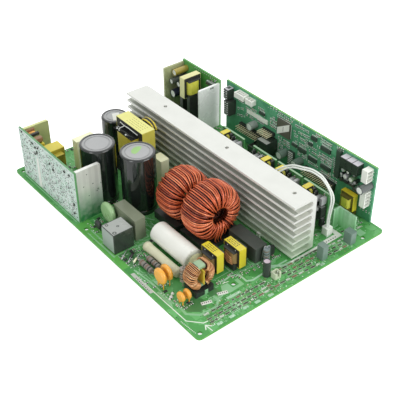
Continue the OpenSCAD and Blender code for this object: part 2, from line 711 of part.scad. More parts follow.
module heatsink() {
    color("gainsboro") difference() {
        on_board(heatsink_at, heatsink_foot_h) translate([0, heatsink_l, 0]) rotate([90, 0, 0])
            linear_extrude(heatsink_l) difference() {
                square([heatsink_w, heatsink_h]);
                for (i = [0 : fin_count - 2]) translate([0, fin_t + i * (fin_t + slot_h)]) {
                    translate([-1, 0]) square([heatsink_w - web_t - slot_h / 2 + 1, slot_h]);
                    translate([heatsink_w - web_t - slot_h / 2, slot_h / 2]) circle(slot_h / 2, $fn = round_fn);
                }
            }
        for (y = fin_holes_y)
            on_board(heatsink_at + [fin_hole_x, y], heatsink_foot_h + heatsink_h - fin_t - 1)
                cylinder(h = fin_t + 2, d = fin_hole_d, $fn = round_fn);
    }
}

module heatsink_feet() {
    color("silver") for (y = [foot_ends, heatsink_l / 2, heatsink_l - foot_ends])
        on_board(heatsink_at + [heatsink_w / 2, y]) cylinder(h = heatsink_foot_h, d = heatsink_foot_d, $fn = round_fn);
}

module ground_clip() {
    color("whitesmoke") on_board([heatsink_at[0] - ground_tab[1], ground_tab_y - ground_tab[0] / 2])
        cube([ground_tab[1], ground_tab[0], ground_tab[2]]);
}

module power_transistors() {
    color("dimgray") for (y = transistor_y) on_board([heatsink_back, y]) {
        translate([0, -transistor_w / 2, transistor_lift]) cube([transistor_t, transistor_w, transistor_h]);
        for (k = [-1, 0, 1])
            translate([transistor_t / 2 - lead_size[1] / 2, k * lead_pitch - lead_size[0] / 2, 0])
                cube([lead_size[1], lead_size[0], transistor_lift]);
    }
}

module transistor_screws() {
    color("silver") for (y = transistor_y)
        on_board([heatsink_back + transistor_t, y], transistor_lift + transistor_h * screw_share)
            rotate([0, 90, 0]) cylinder(h = screw_head_h, d = screw_head_d, $fn = round_fn);
}

module heat_sensor() {
    color("black") on_board([heatsink_back, sensor_y - sensor_size[1] / 2], sensor_lift) cube(sensor_size);
}

module front_choke_winding() {
    color("coral") upright_toroid(front_choke_at, front_choke_r, choke_lift)
        toroid_winding(front_choke_r, front_choke_turns);
}

module rear_choke_winding() {
    color("coral") upright_toroid(rear_choke_at, rear_choke_r, choke_lift)
        toroid_winding(rear_choke_r, rear_choke_turns);
}

module choke_cores() {
    color("saddlebrown") {
        upright_toroid(front_choke_at, front_choke_r, choke_lift) toroid_core(front_choke_r);
        upright_toroid(rear_choke_at, rear_choke_r, choke_lift) toroid_core(rear_choke_r);
    }
}

module choke_bases() {
    size = [choke_base[0], choke_t + 2 * choke_base_margin, choke_base[1]];
    color("black") {
        on_board(front_choke_at) saddle(size, front_choke_r, choke_lift);
        on_board(rear_choke_at) saddle(size, rear_choke_r, choke_lift);
    }
}

module capacitor_sleeves() {
    color("black") for (c = bulk_caps) on_board(c[0]) can_sleeve(c[1], c[2]);
}

module capacitor_tops() {
    color("darkgray") for (c = bulk_caps) on_board(c[0]) can_top(c[1], c[2]);
}

module power_tf_core() {
    color("black") on_board(power_tf_at) tf_core(power_tf, power_tf_coil);
}

module power_tf_tape() {
    color("khaki") on_board(power_tf_at) tf_tape(power_tf, power_tf_coil);
}

module power_tf_windings() {
    color("goldenrod") on_board(power_tf_at) tf_coil(power_tf, power_tf_coil);
}

module power_tf_bobbin() {
    color("black") on_board(power_tf_at) tf_bobbin(power_tf, power_tf_coil);
}

module aux_board() {
    color("darkseagreen") on_board([aux_inset, aux_y])
        cube([board_t, aux_board_size[0], aux_board_size[1]]);
}

module aux_plates() {
    color("gray") {
        difference() {
            on_board([aux_face, front_plate_y]) standing_plate(front_plate, 1);
            on_board([aux_face + plate_hole_at[0], front_plate_y - 1], plate_hole_at[1])
                rotate([-90, 0, 0]) cylinder(h = front_plate[1] + 2, d = plate_hole_d, $fn = round_fn);
        }
        on_board([aux_face, rear_plate_y]) standing_plate(rear_plate, 1);
    }
}

module cream_boxes() {
    color("cornsilk") {
        on_board(cream_a_at) block(cream_box_a);
        on_board(cream_b_at) block(cream_box_b);
    }
}

module grey_boxes() {
    color("gray") {
        on_board(grey_film_at) block(grey_film);
        on_board(grey_a_at) block(grey_box_a);
        on_board(grey_b_at) block(grey_box_b);
    }
}

module light_relay() {
    color("lightgray") on_board(light_relay_at) block(light_relay_size);
}

module slim_relay() {
    color("black") on_board(slim_relay_at) block(slim_relay_size);
}

module varistor() {
    color("darkseagreen") on_board(varistor_at) leaded_disc(varistor_size);
}

module thermistor() {
    color("black") on_board(thermistor_at) leaded_disc(thermistor_size);
}

module axial_capacitor() {
    color("whitesmoke") on_board(axial_at) lying_body(axial_size, axial_end_step);
}

module rod_resistor() {
    color("cornsilk") on_board(rod_at) lying_body(rod_size, rod_end_step);
}

module upright_resistors() {
    color("tan") for (i = [0, 1]) on_board(upright_at[i]) upright_resistor(upright_size, upright_lift[i]);
}

module lying_resistors() {
    color("slategray") for (p = lying_at) on_board(p) lying_body(lying_size, lying_end_step);
}

module disc_capacitors() {
    color("goldenrod") {
        for (p = large_disc_at) on_board(p) leaded_disc(large_disc_size);
        for (p = small_disc_at) on_board(p) leaded_disc(small_disc_size);
    }
}

module cm_core() {
    color("darkseagreen") upright_toroid(cm_at, cm_size[0], cm_lift)
        ring_core(cm_hole_r + cm_depth, cm_size[0] - cm_wire_d - choke_core_gap,
                  cm_size[1] - 2 * cm_depth, cm_bend - cm_wire_d / 2, cm_bend - cm_wire_d / 2);
}

module cm_windings() {
    n = cm_size[2];
    color("peru") upright_toroid(cm_at, cm_size[0], cm_lift) for (side = [0, 180], i = [0 : n - 1]) {
        step = (i % cm_layers) * cm_step;
        rotate([0, 0, side + (i - (n - 1) / 2) * cm_pitch])
            turn(cm_hole_r + cm_wire_d / 2 + step, cm_size[0] - cm_wire_d / 2,
                 cm_size[1] / 2 - cm_wire_d / 2 - step, cm_bend, cm_bend, cm_wire_d);
    }
}

module cm_divider() {
    h = 2 * (cm_hole_r + cm_depth - cm_divider_gap);
    color("gold") on_board(cm_at, cm_lift + cm_size[0] - h / 2)
        translate([-cm_divider_t / 2, -cm_size[1] / 2, 0]) cube([cm_divider_t, cm_size[1], h]);
}

module cm_base() {
    color("black") on_board(cm_at) saddle(cm_base_size, cm_size[0], cm_lift);
}

module small_tf_cores() {
    color("black") small_transformers("core");
}

module small_tf_tapes() {
    color("yellow") small_transformers("tape");
}

module small_tf_windings() {
    color("darkgoldenrod") small_transformers("coil");
}

module small_tf_bobbins() {
    color("black") small_transformers("bobbin");
}

module small_capacitor_sleeves() {
    color("black") {
        on_board(front_cap[0]) plain_sleeve(front_cap[1], front_cap[2]);
        for (c = lying_caps) on_face(c) plain_sleeve(c[3], c[4]);
    }
}

module small_capacitor_tops() {
    color("lightgray") {
        on_board(front_cap[0]) plain_top(front_cap[1], front_cap[2]);
        for (c = lying_caps) on_face(c) plain_top(c[3], c[4]);
    }
}

module small_transistor() {
    d = small_transistor_size[0];
    color("black") on_board(small_transistor_at) {
        translate([0, 0, 2]) difference() {
            cylinder(h = small_transistor_size[1], d = d, $fn = round_fn);
            translate([-d, -d - d / 4, -1]) cube([2 * d, d, small_transistor_size[1] + 2]);
        }
        for (k = [-1, 0, 1]) translate([k * d / 4, 0, 0]) cylinder(h = 2, d = wire_lead_d, $fn = wire_fn);
    }
}

module white_headers() {
    color("whitesmoke") {
        on_board(header_at) difference() {
            block(pin_header_size);
            translate([0, 0, header_floor]) block(pin_header_size - [1, 1, 0] * 2 * header_wall);
            translate([0, -pin_header_size[1] / 2, header_floor]) block([header_slot, pin_header_size[1], pin_header_size[2]]);
        }
        for (h = upward_headers) difference() {
            face_box(control_face, h[0], h[1], h[2]);
            face_box(control_face - header_wall, h[0], h[1] + header_floor, h[2] - [1, 1, 0] * 2 * header_wall);
        }
        for (h = forward_headers) difference() {
            face_box(control_face, h[0], h[1], h[2]);
            face_box(control_face - header_wall, h[0] - header_floor, h[1], h[2] - [1, 0, 1] * 2 * header_wall);
        }
        face_box(control_face, white_strip[0], white_strip[1], white_strip[2]);
    }
}

module wire_connector() {
    color("linen") on_board(connector_at) block(connector_size);
}

module sensor_wires() {
    color("white") on_board([0, 0]) {
        tube(route(first_rise, first_fall), sensor_wire_d);
        tube(route(second_rise, second_fall), sensor_wire_d);
    }
}

module bent_plate() {
    w = bent_plate_size[0];
    d = bent_plate_size[1];
    t = bent_plate_size[3];
    color("lightgray") on_board(bent_plate_at) linear_extrude(bent_plate_size[2]) {
        translate([-w / 2, d / 2 - t]) square([w, t]);
        translate([w / 2 - t, -d / 2]) square([t, d]);
    }
}

module supply_board() {
    color("green") on_board([control_face, supply_y])
        cube([board_t, supply_board_size[0], supply_board_size[1]]);
}

module supply_plates() {
    color("silver") {
        on_board([control_face, supply_y]) standing_plate(supply_front_plate, -1);
        on_board([control_face, supply_y + supply_board_size[0] - supply_end_plate[1]])
            standing_plate(supply_end_plate, -1);
    }
}

module control_board() {
    color("seagreen") on_board([control_face, control_y])
        cube([board_t, control_board_size[0], control_board_size[1]]);
}

module black_connectors() {
    color("black") for (b = control_blocks) face_box(control_face, b[0], b[1], b[2]);
}

module control_chips() {
    color("dimgray") for (b = control_chip_list) face_box(control_face, b[0], b[1], b[2]);
}

module control_relays() {
    color("gray") for (b = control_relay_list) face_box(control_face, b[0], b[1], b[2]);
}

module pin_headers() {
    color("black") for (b = control_pins) face_box(control_face, b[0], b[1], b[2]);
}

module driver_boards() {
    color("seagreen") for (y = driver_y) on_board([driver_x, y])
        cube([board_t, driver_board_size[0], driver_board_size[1]]);
}

main_pcb();
solder_joints();
heatsink();
heatsink_feet();
ground_clip();
power_transistors();
transistor_screws();
heat_sensor();
front_choke_winding();
rear_choke_winding();
choke_cores();
choke_bases();
capacitor_sleeves();
capacitor_tops();
power_tf_core();
power_tf_tape();
power_tf_windings();
power_tf_bobbin();
aux_board();
aux_plates();
cream_boxes();
grey_boxes();
light_relay();
slim_relay();
varistor();
thermistor();
axial_capacitor();
rod_resistor();
upright_resistors();
lying_resistors();
disc_capacitors();
cm_core();
cm_windings();
cm_divider();
cm_base();
small_tf_cores();
small_tf_tapes();
small_tf_windings();
small_tf_bobbins();
small_capacitor_sleeves();
small_capacitor_tops();
small_transistor();
white_headers();
wire_connector();
sensor_wires();
bent_plate();
supply_board();
supply_plates();
control_board();
black_connectors();
control_chips();
control_relays();
pin_headers();
driver_boards();
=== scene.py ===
"""Looks of a power board: materials, small parts on the boards, light and camera."""

import math
import random

import bmesh
import bpy
from mathutils import Matrix, Vector


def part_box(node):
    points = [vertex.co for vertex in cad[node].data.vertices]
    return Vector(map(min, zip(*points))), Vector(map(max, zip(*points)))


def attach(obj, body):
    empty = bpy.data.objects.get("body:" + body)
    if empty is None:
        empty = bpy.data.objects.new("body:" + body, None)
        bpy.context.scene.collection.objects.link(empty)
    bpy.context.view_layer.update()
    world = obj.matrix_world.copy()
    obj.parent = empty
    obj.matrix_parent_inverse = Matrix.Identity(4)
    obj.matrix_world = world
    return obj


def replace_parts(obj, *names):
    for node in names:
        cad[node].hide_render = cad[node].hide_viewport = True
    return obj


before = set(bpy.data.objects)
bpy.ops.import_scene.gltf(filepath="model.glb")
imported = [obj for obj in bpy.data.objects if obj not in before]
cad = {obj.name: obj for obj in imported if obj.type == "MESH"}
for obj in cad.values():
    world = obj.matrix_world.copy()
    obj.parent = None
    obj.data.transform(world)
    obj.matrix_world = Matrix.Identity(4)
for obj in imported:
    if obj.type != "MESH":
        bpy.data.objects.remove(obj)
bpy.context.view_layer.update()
MM = 0.001


def low_high(node):
    """Corners of a node's box in millimetres."""
    low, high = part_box(node)
    return low / MM, high / MM


# Faces that carry the small parts, in millimetres
BOARD_LOW, BOARD_HIGH = low_high("main_pcb")
BOARD_TOP = BOARD_HIGH.z
CONTROL_FACE = low_high("control_board")[0].x
CONTROL_BACK = low_high("control_board")[1].x
CONTROL_TOP = low_high("control_board")[1].z
SUPPLY_FACE = low_high("supply_board")[0].x
AUX_FACE = low_high("aux_board")[0].x
AUX_TOP = low_high("aux_board")[1].z
SINK_LOW, SINK_HIGH = low_high("heatsink")
DRIVER_FACE = low_high("driver_boards")[0].x
DRIVER_BACK = low_high("driver_boards")[1].x
DRIVER_TOP = low_high("driver_boards")[1].z
FRONT_EDGE = BOARD_LOW.y


def shade(red, green, blue):
    """Linear colour of a screen colour given as 0 to 255."""

    def linear(c):
        c /= 255
        return c / 12.92 if c <= 0.04045 else ((c + 0.055) / 1.055) ** 2.4

    return (linear(red), linear(green), linear(blue), 1.0)


# Shader nodes and groups
FIXED = (int, float, tuple, list, Vector)
NOUGHT = (0.0, 0.0, 0.0)


def feed(tree, socket, value):
    """Gives a socket a fixed value, or links another socket to it."""
    if isinstance(value, FIXED):
        socket.default_value = value
    else:
        tree.links.new(value, socket)


def node(tree, kind, values, **settings):
    """Outputs of a new shader node, its settings made first and its inputs fed after."""
    made = tree.nodes.new("ShaderNode" + kind)
    for label, value in settings.items():
        setattr(made, label, value)
    for label, value in values.items():
        feed(tree, made.inputs[label], value)
    return made.outputs


def maths(tree, operation, first, second, clamp=False):
    return node(tree, "Math", {0: first, 1: second}, operation=operation, use_clamp=clamp)["Value"]


def vector_maths(tree, operation, first, second=NOUGHT, output="Vector"):
    return node(tree, "VectorMath", {0: first, 1: second}, operation=operation)[output]


def noise(tree, vector, scale, detail=2.0):
    return node(tree, "TexNoise", {"Vector": vector, "Scale": scale, "Detail": detail})["Fac"]


def blend(tree, factor, first, second):
    return node(tree, "Mix", {"Factor": factor, "A": first, "B": second}, data_type="RGBA")["Result"]


def spread(tree, value, low, high):
    return node(tree, "MapRange", {"Value": value, "From Min": low, "From Max": high})["Result"]


def parts_of(tree, vector):
    return node(tree, "SeparateXYZ", {0: vector})


def cells_of(tree, vector, scale, **settings):
    return node(tree, "TexVoronoi", {"Vector": vector, "Scale": scale}, **settings)


def red_of(tree, colour):
    return node(tree, "SeparateColor", {"Color": colour})["Red"]


def new_group(name, inputs, outputs):
    """An empty node group, the sockets it is given and the sockets it hands out."""
    group = bpy.data.node_groups.new(name, "ShaderNodeTree")
    for label, kind, value in [("Vector", "Vector", None)] + inputs:
        socket = group.interface.new_socket(label, in_out="INPUT", socket_type="NodeSocket" + kind)
        if value is not None:
            socket.default_value = value
    for label, kind in outputs:
        group.interface.new_socket(label, in_out="OUTPUT", socket_type="NodeSocket" + kind)
    return group, group.nodes.new("NodeGroupInput").outputs, group.nodes.new("NodeGroupOutput").inputs


def make_aged_surface():
    group, given, made = new_group(
        "aged_surface",
        [
            ("Clean", "Color", None), ("Soiled", "Color", None), ("Grain", "Float", 900.0),
            ("Soil", "Float", 0.4), ("Gloss", "Float", 0.4), ("Gloss Spread", "Float", 0.2),
        ],
        [("Color", "Color"), ("Roughness", "Float"), ("Height", "Float")],
    )
    wide = noise(group, given["Vector"], maths(group, "MULTIPLY", given["Grain"], 0.11))
    soil = maths(group, "MULTIPLY", spread(group, wide, 0.38, 0.72), given["Soil"], True)
    uneven = maths(group, "MULTIPLY", maths(group, "SUBTRACT", wide, 0.5), given["Gloss Spread"])
    feed(group, made["Color"], blend(group, soil, given["Clean"], given["Soiled"]))
    feed(group, made["Roughness"], maths(group, "ADD", uneven, given["Gloss"], True))
    feed(group, made["Height"], noise(group, given["Vector"], given["Grain"], 3.0))
    return group


def make_drawn_streaks():
    group, given, made = new_group(
        "drawn_streaks", [("Stretch", "Vector", (1.0, 1.0, 1.0))], [("Streak", "Float")])
    scaled = vector_maths(group, "MULTIPLY", given["Vector"], given["Stretch"])
    feed(group, made["Streak"], noise(group, scaled, 1.0, 4.0))
    return group


def make_wound_wire():
    group, given, made = new_group(
        "wound_wire",
        [("Direction", "Vector", (0.0, 0.0, 1.0)), ("Turns", "Float", 1800.0)],
        [("Crown", "Float")],
    )
    along = vector_maths(group, "DOT_PRODUCT", given["Vector"], given["Direction"], "Value")
    wander = maths(group, "MULTIPLY", noise(group, given["Vector"], 260.0), 0.0006)
    place = maths(group, "ADD", along, wander)
    phase = maths(group, "MULTIPLY", maths(group, "MULTIPLY", place, given["Turns"]), math.pi)
    feed(group, made["Crown"], maths(group, "ABSOLUTE", maths(group, "SINE", phase, 0.0), 0.0))
    return group


def make_inside_box():
    group, given, made = new_group(
        "inside_box", [("Low", "Vector", NOUGHT), ("High", "Vector", (1.0, 1.0, 1.0))], [("Inside", "Float")])
    here, low, high = (parts_of(group, given[label]) for label in ("Vector", "Low", "High"))
    inside = None
    for axis in "XYZ":
        for test, limit in (("GREATER_THAN", low), ("LESS_THAN", high)):
            side = maths(group, test, here[axis], limit[axis])
            inside = maths(group, "MULTIPLY", inside, side) if inside else side
    feed(group, made["Inside"], inside)
    return group


def make_specks():
    group, given, made = new_group(
        "specks",
        [("Cells", "Float", 300.0), ("Share", "Float", 0.3), ("Size", "Float", 0.15)],
        [("Speck", "Float")],
    )
    cell = cells_of(group, given["Vector"], given["Cells"])
    chosen = maths(group, "LESS_THAN", red_of(group, cell["Color"]), given["Share"])
    near = maths(group, "LESS_THAN", cell["Distance"], given["Size"])
    feed(group, made["Speck"], maths(group, "MULTIPLY", chosen, near))
    return group


def make_solder_mask():
    group, given, made = new_group(
        "solder_mask",
        [
            ("Laminate", "Color", None), ("Copper", "Color", None), ("Cells", "Float", 90.0),
            ("Copper Share", "Float", 0.5),
        ],
        [("Color", "Color"), ("Height", "Float")],
    )
    first, second = (
        cells_of(group, given["Vector"], given["Cells"], feature=feature, distance="CHEBYCHEV")
        for feature in ("F1", "F2")
    )
    poured = maths(group, "LESS_THAN", red_of(group, first["Color"]), given["Copper Share"])
    rim = maths(group, "SUBTRACT", second["Distance"], first["Distance"])
    copper = maths(group, "MULTIPLY", poured, maths(group, "GREATER_THAN", rim, 0.07))
    mottle = noise(group, given["Vector"], 420.0, 3.0)
    broad = spread(group, noise(group, given["Vector"], 34.0), 0.36, 0.64)
    uneven = maths(group, "ADD", maths(group, "MULTIPLY", mottle, 0.25), maths(group, "MULTIPLY", broad, 0.4))
    mixed = maths(group, "ADD", maths(group, "MULTIPLY", copper, 0.5), uneven, True)
    feed(group, made["Color"], blend(group, mixed, given["Laminate"], given["Copper"]))
    feed(group, made["Height"], copper)
    return group


def make_low_fade():
    group, given, made = new_group(
        "low_fade", [("Foot", "Float", 0.003), ("Top", "Float", 0.02)], [("Fade", "Float")])
    below = maths(group, "SUBTRACT", given["Top"], parts_of(group, given["Vector"])["Z"])
    tall = maths(group, "SUBTRACT", given["Top"], given["Foot"])
    share = maths(group, "DIVIDE", below, tall, True)
    uneven = maths(group, "ADD", noise(group, given["Vector"], 260.0), 0.5)
    feed(group, made["Fade"], maths(group, "MULTIPLY", share, uneven, True))
    return group


# Joints lie on a grid of a tenth of an inch, which is so many to the metre
JOINTS_PER_METRE = 394.0


def make_joint_grid():
    """Solder joints on the grid of a board, in clusters."""
    group, given, made = new_group(
        "joint_grid",
        [("Axes", "Vector", (0.0, 1.0, 1.0)), ("Share", "Float", 0.3), ("Size", "Float", 0.25)],
        [("Joint", "Float"), ("Tip", "Float")],
    )
    grid = vector_maths(group, "MULTIPLY", given["Vector"], (JOINTS_PER_METRE,) * 3)
    flat = vector_maths(group, "MULTIPLY", grid, given["Axes"])
    cell = vector_maths(group, "FLOOR", flat)
    inner = vector_maths(group, "SUBTRACT", vector_maths(group, "FRACTION", flat), (0.5, 0.5, 0.5))
    inner = vector_maths(group, "MULTIPLY", inner, given["Axes"])
    across = vector_maths(group, "LENGTH", inner, output="Value")
    chance = node(group, "TexWhiteNoise", {"Vector": cell})["Value"]
    chosen = maths(group, "LESS_THAN", chance, given["Share"])
    crowd = maths(group, "GREATER_THAN", noise(group, cell, 0.16), 0.47)
    picked = maths(group, "MULTIPLY", chosen, crowd)
    for label, part in (("Joint", 1.0), ("Tip", 0.4)):
        near = maths(group, "LESS_THAN", across, maths(group, "MULTIPLY", given["Size"], part))
        feed(group, made[label], maths(group, "MULTIPLY", near, picked))
    return group


AGED = make_aged_surface()
STREAKS = make_drawn_streaks()
WOUND = make_wound_wire()
ZONE = make_inside_box()
SPECKS = make_specks()
MASK = make_solder_mask()
FADE = make_low_fade()
JOINTS = make_joint_grid()


class Finish:
    """One material: a Principled surface with an aged surface behind its colour and gloss."""

    def __init__(self, name, clean, soiled, gloss, grain=900.0, soil=0.4, gloss_spread=0.2, metallic=0.0,
                 coat=0.0, bump=0.05, specular=0.5):
        self.material = bpy.data.materials.new(name)
        self.material.use_nodes = True
        self.tree = self.material.node_tree
        self.surface = self.tree.nodes["Principled BSDF"]
        self.where = self.tree.nodes.new("ShaderNodeTexCoord").outputs["Object"]
        aged = self.aged(clean, soiled, grain, {"Soil": soil, "Gloss": gloss, "Gloss Spread": gloss_spread})
        self.relief = self.tree.nodes.new("ShaderNodeBump")
        self.raise_by(aged["Height"], bump)
        feed(self.tree, self.relief.inputs["Distance"], 0.0004)
        for label, value in (
            ("Metallic", metallic), ("Coat Weight", coat), ("Coat Roughness", 0.08),
            ("Specular IOR Level", specular), ("Roughness", aged["Roughness"]),
            ("Normal", self.relief.outputs["Normal"]),
        ):
            self.link(value, label)
        self.paint(aged["Color"])

    def group(self, tree, values):
        return node(self.tree, "Group", {"Vector": self.where, **values}, node_tree=tree)

    def aged(self, clean, soiled, grain, more):
        return self.group(AGED, {"Clean": shade(*clean), "Soiled": shade(*soiled), "Grain": grain, **more})

    def inside(self, box):
        """One inside a box given by its two corners in millimetres, nought outside."""
        low, high = box
        return self.group(ZONE, {"Low": Vector(low) * MM, "High": Vector(high) * MM})["Inside"]

    def link(self, value, label):
        feed(self.tree, self.surface.inputs[label], value)

    def raise_by(self, height, strength=None):
        """Relief from a height, as strong as before where no strength is given."""
        feed(self.tree, self.relief.inputs["Height"], height)
        if strength is not None:
            feed(self.tree, self.relief.inputs["Strength"], strength)

    def paint(self, colour):
        self.colour = colour
        self.link(colour, "Base Color")
        return self

    def lay(self, factor, colour, share=None):
        """Another colour over the present one, where the factor says, weakened to a share."""
        if share is not None:
            factor = maths(self.tree, "MULTIPLY", factor, share)
        return self.paint(blend(self.tree, factor, self.colour, colour))

    def streaks(self, stretch, dark, share):
        """Drawn or brushed lines over the colour."""
        streak = self.group(STREAKS, {"Stretch": stretch})["Streak"]
        self.raise_by(streak)
        return self.lay(spread(self.tree, streak, 0.3, 0.7), shade(*dark), share)

    def wound(self, direction, turns, gap, strength):
        """Lines of wound wire over the colour, with the grooves between turns painted darker as painted
        shade.
        """
        crown = self.group(WOUND, {"Direction": direction, "Turns": turns})["Crown"]
        self.raise_by(crown, strength)
        return self.paint(blend(self.tree, spread(self.tree, crown, 0.15, 0.75), shade(*gap), self.colour))

    def masked(self, laminate, copper, cells, share):
        """Copper areas under the solder mask of a board."""
        made = self.group(MASK, {
            "Laminate": shade(*laminate), "Copper": shade(*copper), "Cells": cells, "Copper Share": share,
        })
        self.raise_by(made["Height"])
        return self.paint(made["Color"])

    def specks(self, colour, cells, share, size):
        """Small round pads, holes or dirt over the colour."""
        made = self.group(SPECKS, {"Cells": cells, "Share": share, "Size": size})
        return self.lay(made["Speck"], shade(*colour))

    def patch(self, box, clean, soiled, grain=900.0):
        """Other colours inside one box of the node."""
        return self.lay(self.inside(box), self.aged(clean, soiled, grain, {})["Color"])

    def fade(self, foot, top, colour, share):
        """Painted reflection of the board's colour on the lower part of an upright face, heights in
        millimetres.
        """
        made = self.group(FADE, {"Foot": foot * MM, "Top": top * MM})
        return self.lay(made["Fade"], shade(*colour), share)

    def solder_side(self, axes, box, clean, soiled, share):
        """Plain mask, traces and solder joints on the far face of a board."""
        self.patch(box, clean, soiled, 260.0)
        inside = self.inside(box)
        lines = self.group(STREAKS, {"Stretch": [760.0 if k == axes.index(1.0) else 60.0 for k in range(3)]})
        joints = self.group(JOINTS, {"Axes": axes, "Share": share})
        trace = maths(self.tree, "GREATER_THAN", lines["Streak"], 0.56)
        self.lay(trace, shade(*(c + 14 for c in clean)), inside)
        self.lay(joints["Joint"], shade(182, 194, 180), inside)
        return self.lay(joints["Tip"], shade(226, 230, 224), inside)


def plastic(name, clean, soiled, gloss, **more):
    return Finish(name, clean, soiled, gloss, **more).material


FAR = 400.0
# Depths of the coloured zones: upper edges and faces of the upright boards, faces of the main board
EDGE_BAND, FACE_SKIN, MAIN_SKIN = 0.06, 0.05, 0.02
# Directions that the joints of a board spread along
FLAT_BOARD, UPRIGHT_BOARD = (1.0, 1.0, 0.0), (0.0, 1.0, 1.0)


def zone(x=(-FAR, FAR), y=(-FAR, FAR), z=(-FAR, FAR)):
    """Corners of a box in millimetres that runs far out where no limit is given."""
    return tuple(zip(x, y, z))


# Boards
board_green = (
    Finish("board_green", (96, 160, 84), (80, 140, 74), 0.4, specular=0.25, bump=0.15)
    .masked((58, 138, 60), (104, 176, 106), 120.0, 0.5)
    .patch(zone((-FAR, -73.0), (-34.0, 27.0)), (98, 174, 82), (76, 150, 66), 400.0)
    .specks((160, 204, 160), 330.0, 0.3, 0.16)
    .specks((46, 96, 54), 410.0, 0.3, 0.2)
    .patch(zone(z=(-FAR, BOARD_TOP - MAIN_SKIN)), (92, 168, 74), (76, 146, 62))
    .solder_side(FLAT_BOARD, zone(z=(-FAR, BOARD_LOW.z + MAIN_SKIN)), (74, 146, 78), (62, 128, 66), 0.22)
    .material
)
control_green = (
    Finish("control_green", (60, 122, 84), (48, 104, 72), 0.4, specular=0.25, bump=0.15)
    .masked((70, 142, 102), (100, 170, 130), 110.0, 0.45)
    .specks((150, 190, 160), 480.0, 0.3, 0.17)
    .specks((36, 66, 48), 520.0, 0.22, 0.2)
    .patch(zone(z=(CONTROL_TOP - EDGE_BAND, FAR)), (118, 176, 96), (96, 152, 80))
    .solder_side(UPRIGHT_BOARD, zone(x=(CONTROL_BACK - FACE_SKIN, FAR)), (76, 146, 96), (62, 126, 80), 0.3)
    .material
)
supply_green = (
    Finish("supply_green", (82, 156, 74), (66, 132, 62), 0.34, coat=0.15, bump=0.15)
    .masked((74, 146, 66), (100, 170, 92), 100.0, 0.4)
    .specks((150, 196, 140), 420.0, 0.25, 0.16)
    .solder_side(UPRIGHT_BOARD, zone(x=(CONTROL_BACK - FACE_SKIN, FAR)), (82, 154, 78), (66, 132, 64), 0.3)
    .material
)
driver_green = (
    Finish("driver_green", (70, 140, 76), (56, 116, 64), 0.34, coat=0.15, bump=0.15)
    .masked((62, 130, 70), (90, 156, 92), 120.0, 0.4)
    .specks((170, 200, 170), 420.0, 0.3, 0.18)
    .patch(zone(z=(DRIVER_TOP - EDGE_BAND, FAR)), (140, 178, 140), (118, 158, 118))
    .material
)
aux_pale = (
    Finish("aux_pale", (182, 206, 194), (162, 190, 176), 0.4, coat=0.1, bump=0.15)
    .masked((172, 200, 186), (200, 216, 208), 140.0, 0.6)
    .specks((70, 92, 82), 560.0, 0.2, 0.2)
    .specks((230, 236, 232), 430.0, 0.25, 0.2)
    .patch(zone(z=(AUX_TOP - EDGE_BAND, FAR)), (104, 160, 112), (84, 136, 92))
    .patch(zone(x=(AUX_FACE + FACE_SKIN, FAR)), (92, 150, 96), (76, 128, 80))
    .material
)

# Metals
SINK_TOP_FIN = 1.6
# Zone of the rear plates, which are painted olive: painted shade with a painted reflection of the yellow
# transformer
REAR_PLATES = zone(y=(100.0, FAR))


def between_fins(depth):
    """Zone behind the tips of the heatsink's fins, under its top fin."""
    return zone((SINK_LOW.x + depth, FAR), (SINK_LOW.y + 0.4, FAR), (-FAR, SINK_HIGH.z - SINK_TOP_FIN))


solder = plastic("solder", (214, 216, 214), (164, 166, 164), 0.24, metallic=0.8, bump=0.1)
sink_metal = (
    Finish("sink_metal", (222, 224, 218), (214, 216, 210), 0.5, metallic=0.3, bump=0.0)
    # Fin faces just behind the tips are painted darker and deeper fin faces lighter: painted shade on the lit
    # part, painted light on the shaded part
    .patch(between_fins(0.6), (184, 188, 178), (170, 174, 164))
    .patch(between_fins(3.6), (232, 234, 226), (220, 222, 214))
    # Fin tips painted near white: painted highlight where they catch the light
    .patch(zone(x=(-FAR, SINK_LOW.x + 0.3), z=(-FAR, SINK_HIGH.z - 0.4)), (248, 249, 246), (236, 238, 234))
    # Green on the lower part: painted reflection of the board
    .fade(3.0, 26.0, (206, 232, 198), 0.7)
    .material
)
plate_metal = (
    Finish("plate_metal", (236, 239, 232), (214, 218, 208), 0.36, metallic=0.5, bump=0.04)
    .streaks((420.0, 420.0, 10.0), (186, 190, 182), 0.5)
    .specks((112, 126, 114), 300.0, 0.3, 0.15)
    # Green towards the bottom: painted reflection of the board
    .fade(3.0, 30.0, (72, 152, 98), 1.0)
    # Olive rear plate: painted shade with a painted reflection of the yellow transformer
    .patch(REAR_PLATES, (206, 212, 152), (164, 168, 116), 300.0)
    .material
)
supply_metal = (
    Finish("supply_metal", (244, 247, 244), (226, 230, 226), 0.28, metallic=0.08, bump=0.02)
    # Olive rear plate: painted shade with a painted reflection of the yellow transformer
    .patch(REAR_PLATES, (176, 182, 140), (130, 136, 98), 300.0)
    .material
)
mirror_plate = (
    Finish("mirror_plate", (206, 242, 212), (176, 222, 184), 0.24, metallic=0.4, gloss_spread=0.1, bump=0.02)
    .streaks((500.0, 500.0, 12.0), (124, 188, 134), 0.6)
    # Green on the lower part: painted reflection of the board
    .fade(3.0, 20.0, (132, 206, 136), 0.6)
    .material
)
steel = plastic("steel", (200, 202, 204), (140, 142, 144), 0.3, metallic=0.9)
tin = plastic("tin", (222, 224, 222), (186, 188, 186), 0.32, metallic=0.4)
dull_tin = plastic("dull_tin", (176, 184, 168), (140, 148, 132), 0.36, metallic=0.3)
bright_tin = plastic("bright_tin", (244, 248, 244), (220, 226, 220), 0.32, metallic=0.2)
brass_pin = plastic("brass_pin", (250, 242, 206), (226, 214, 166), 0.28, metallic=0.25)


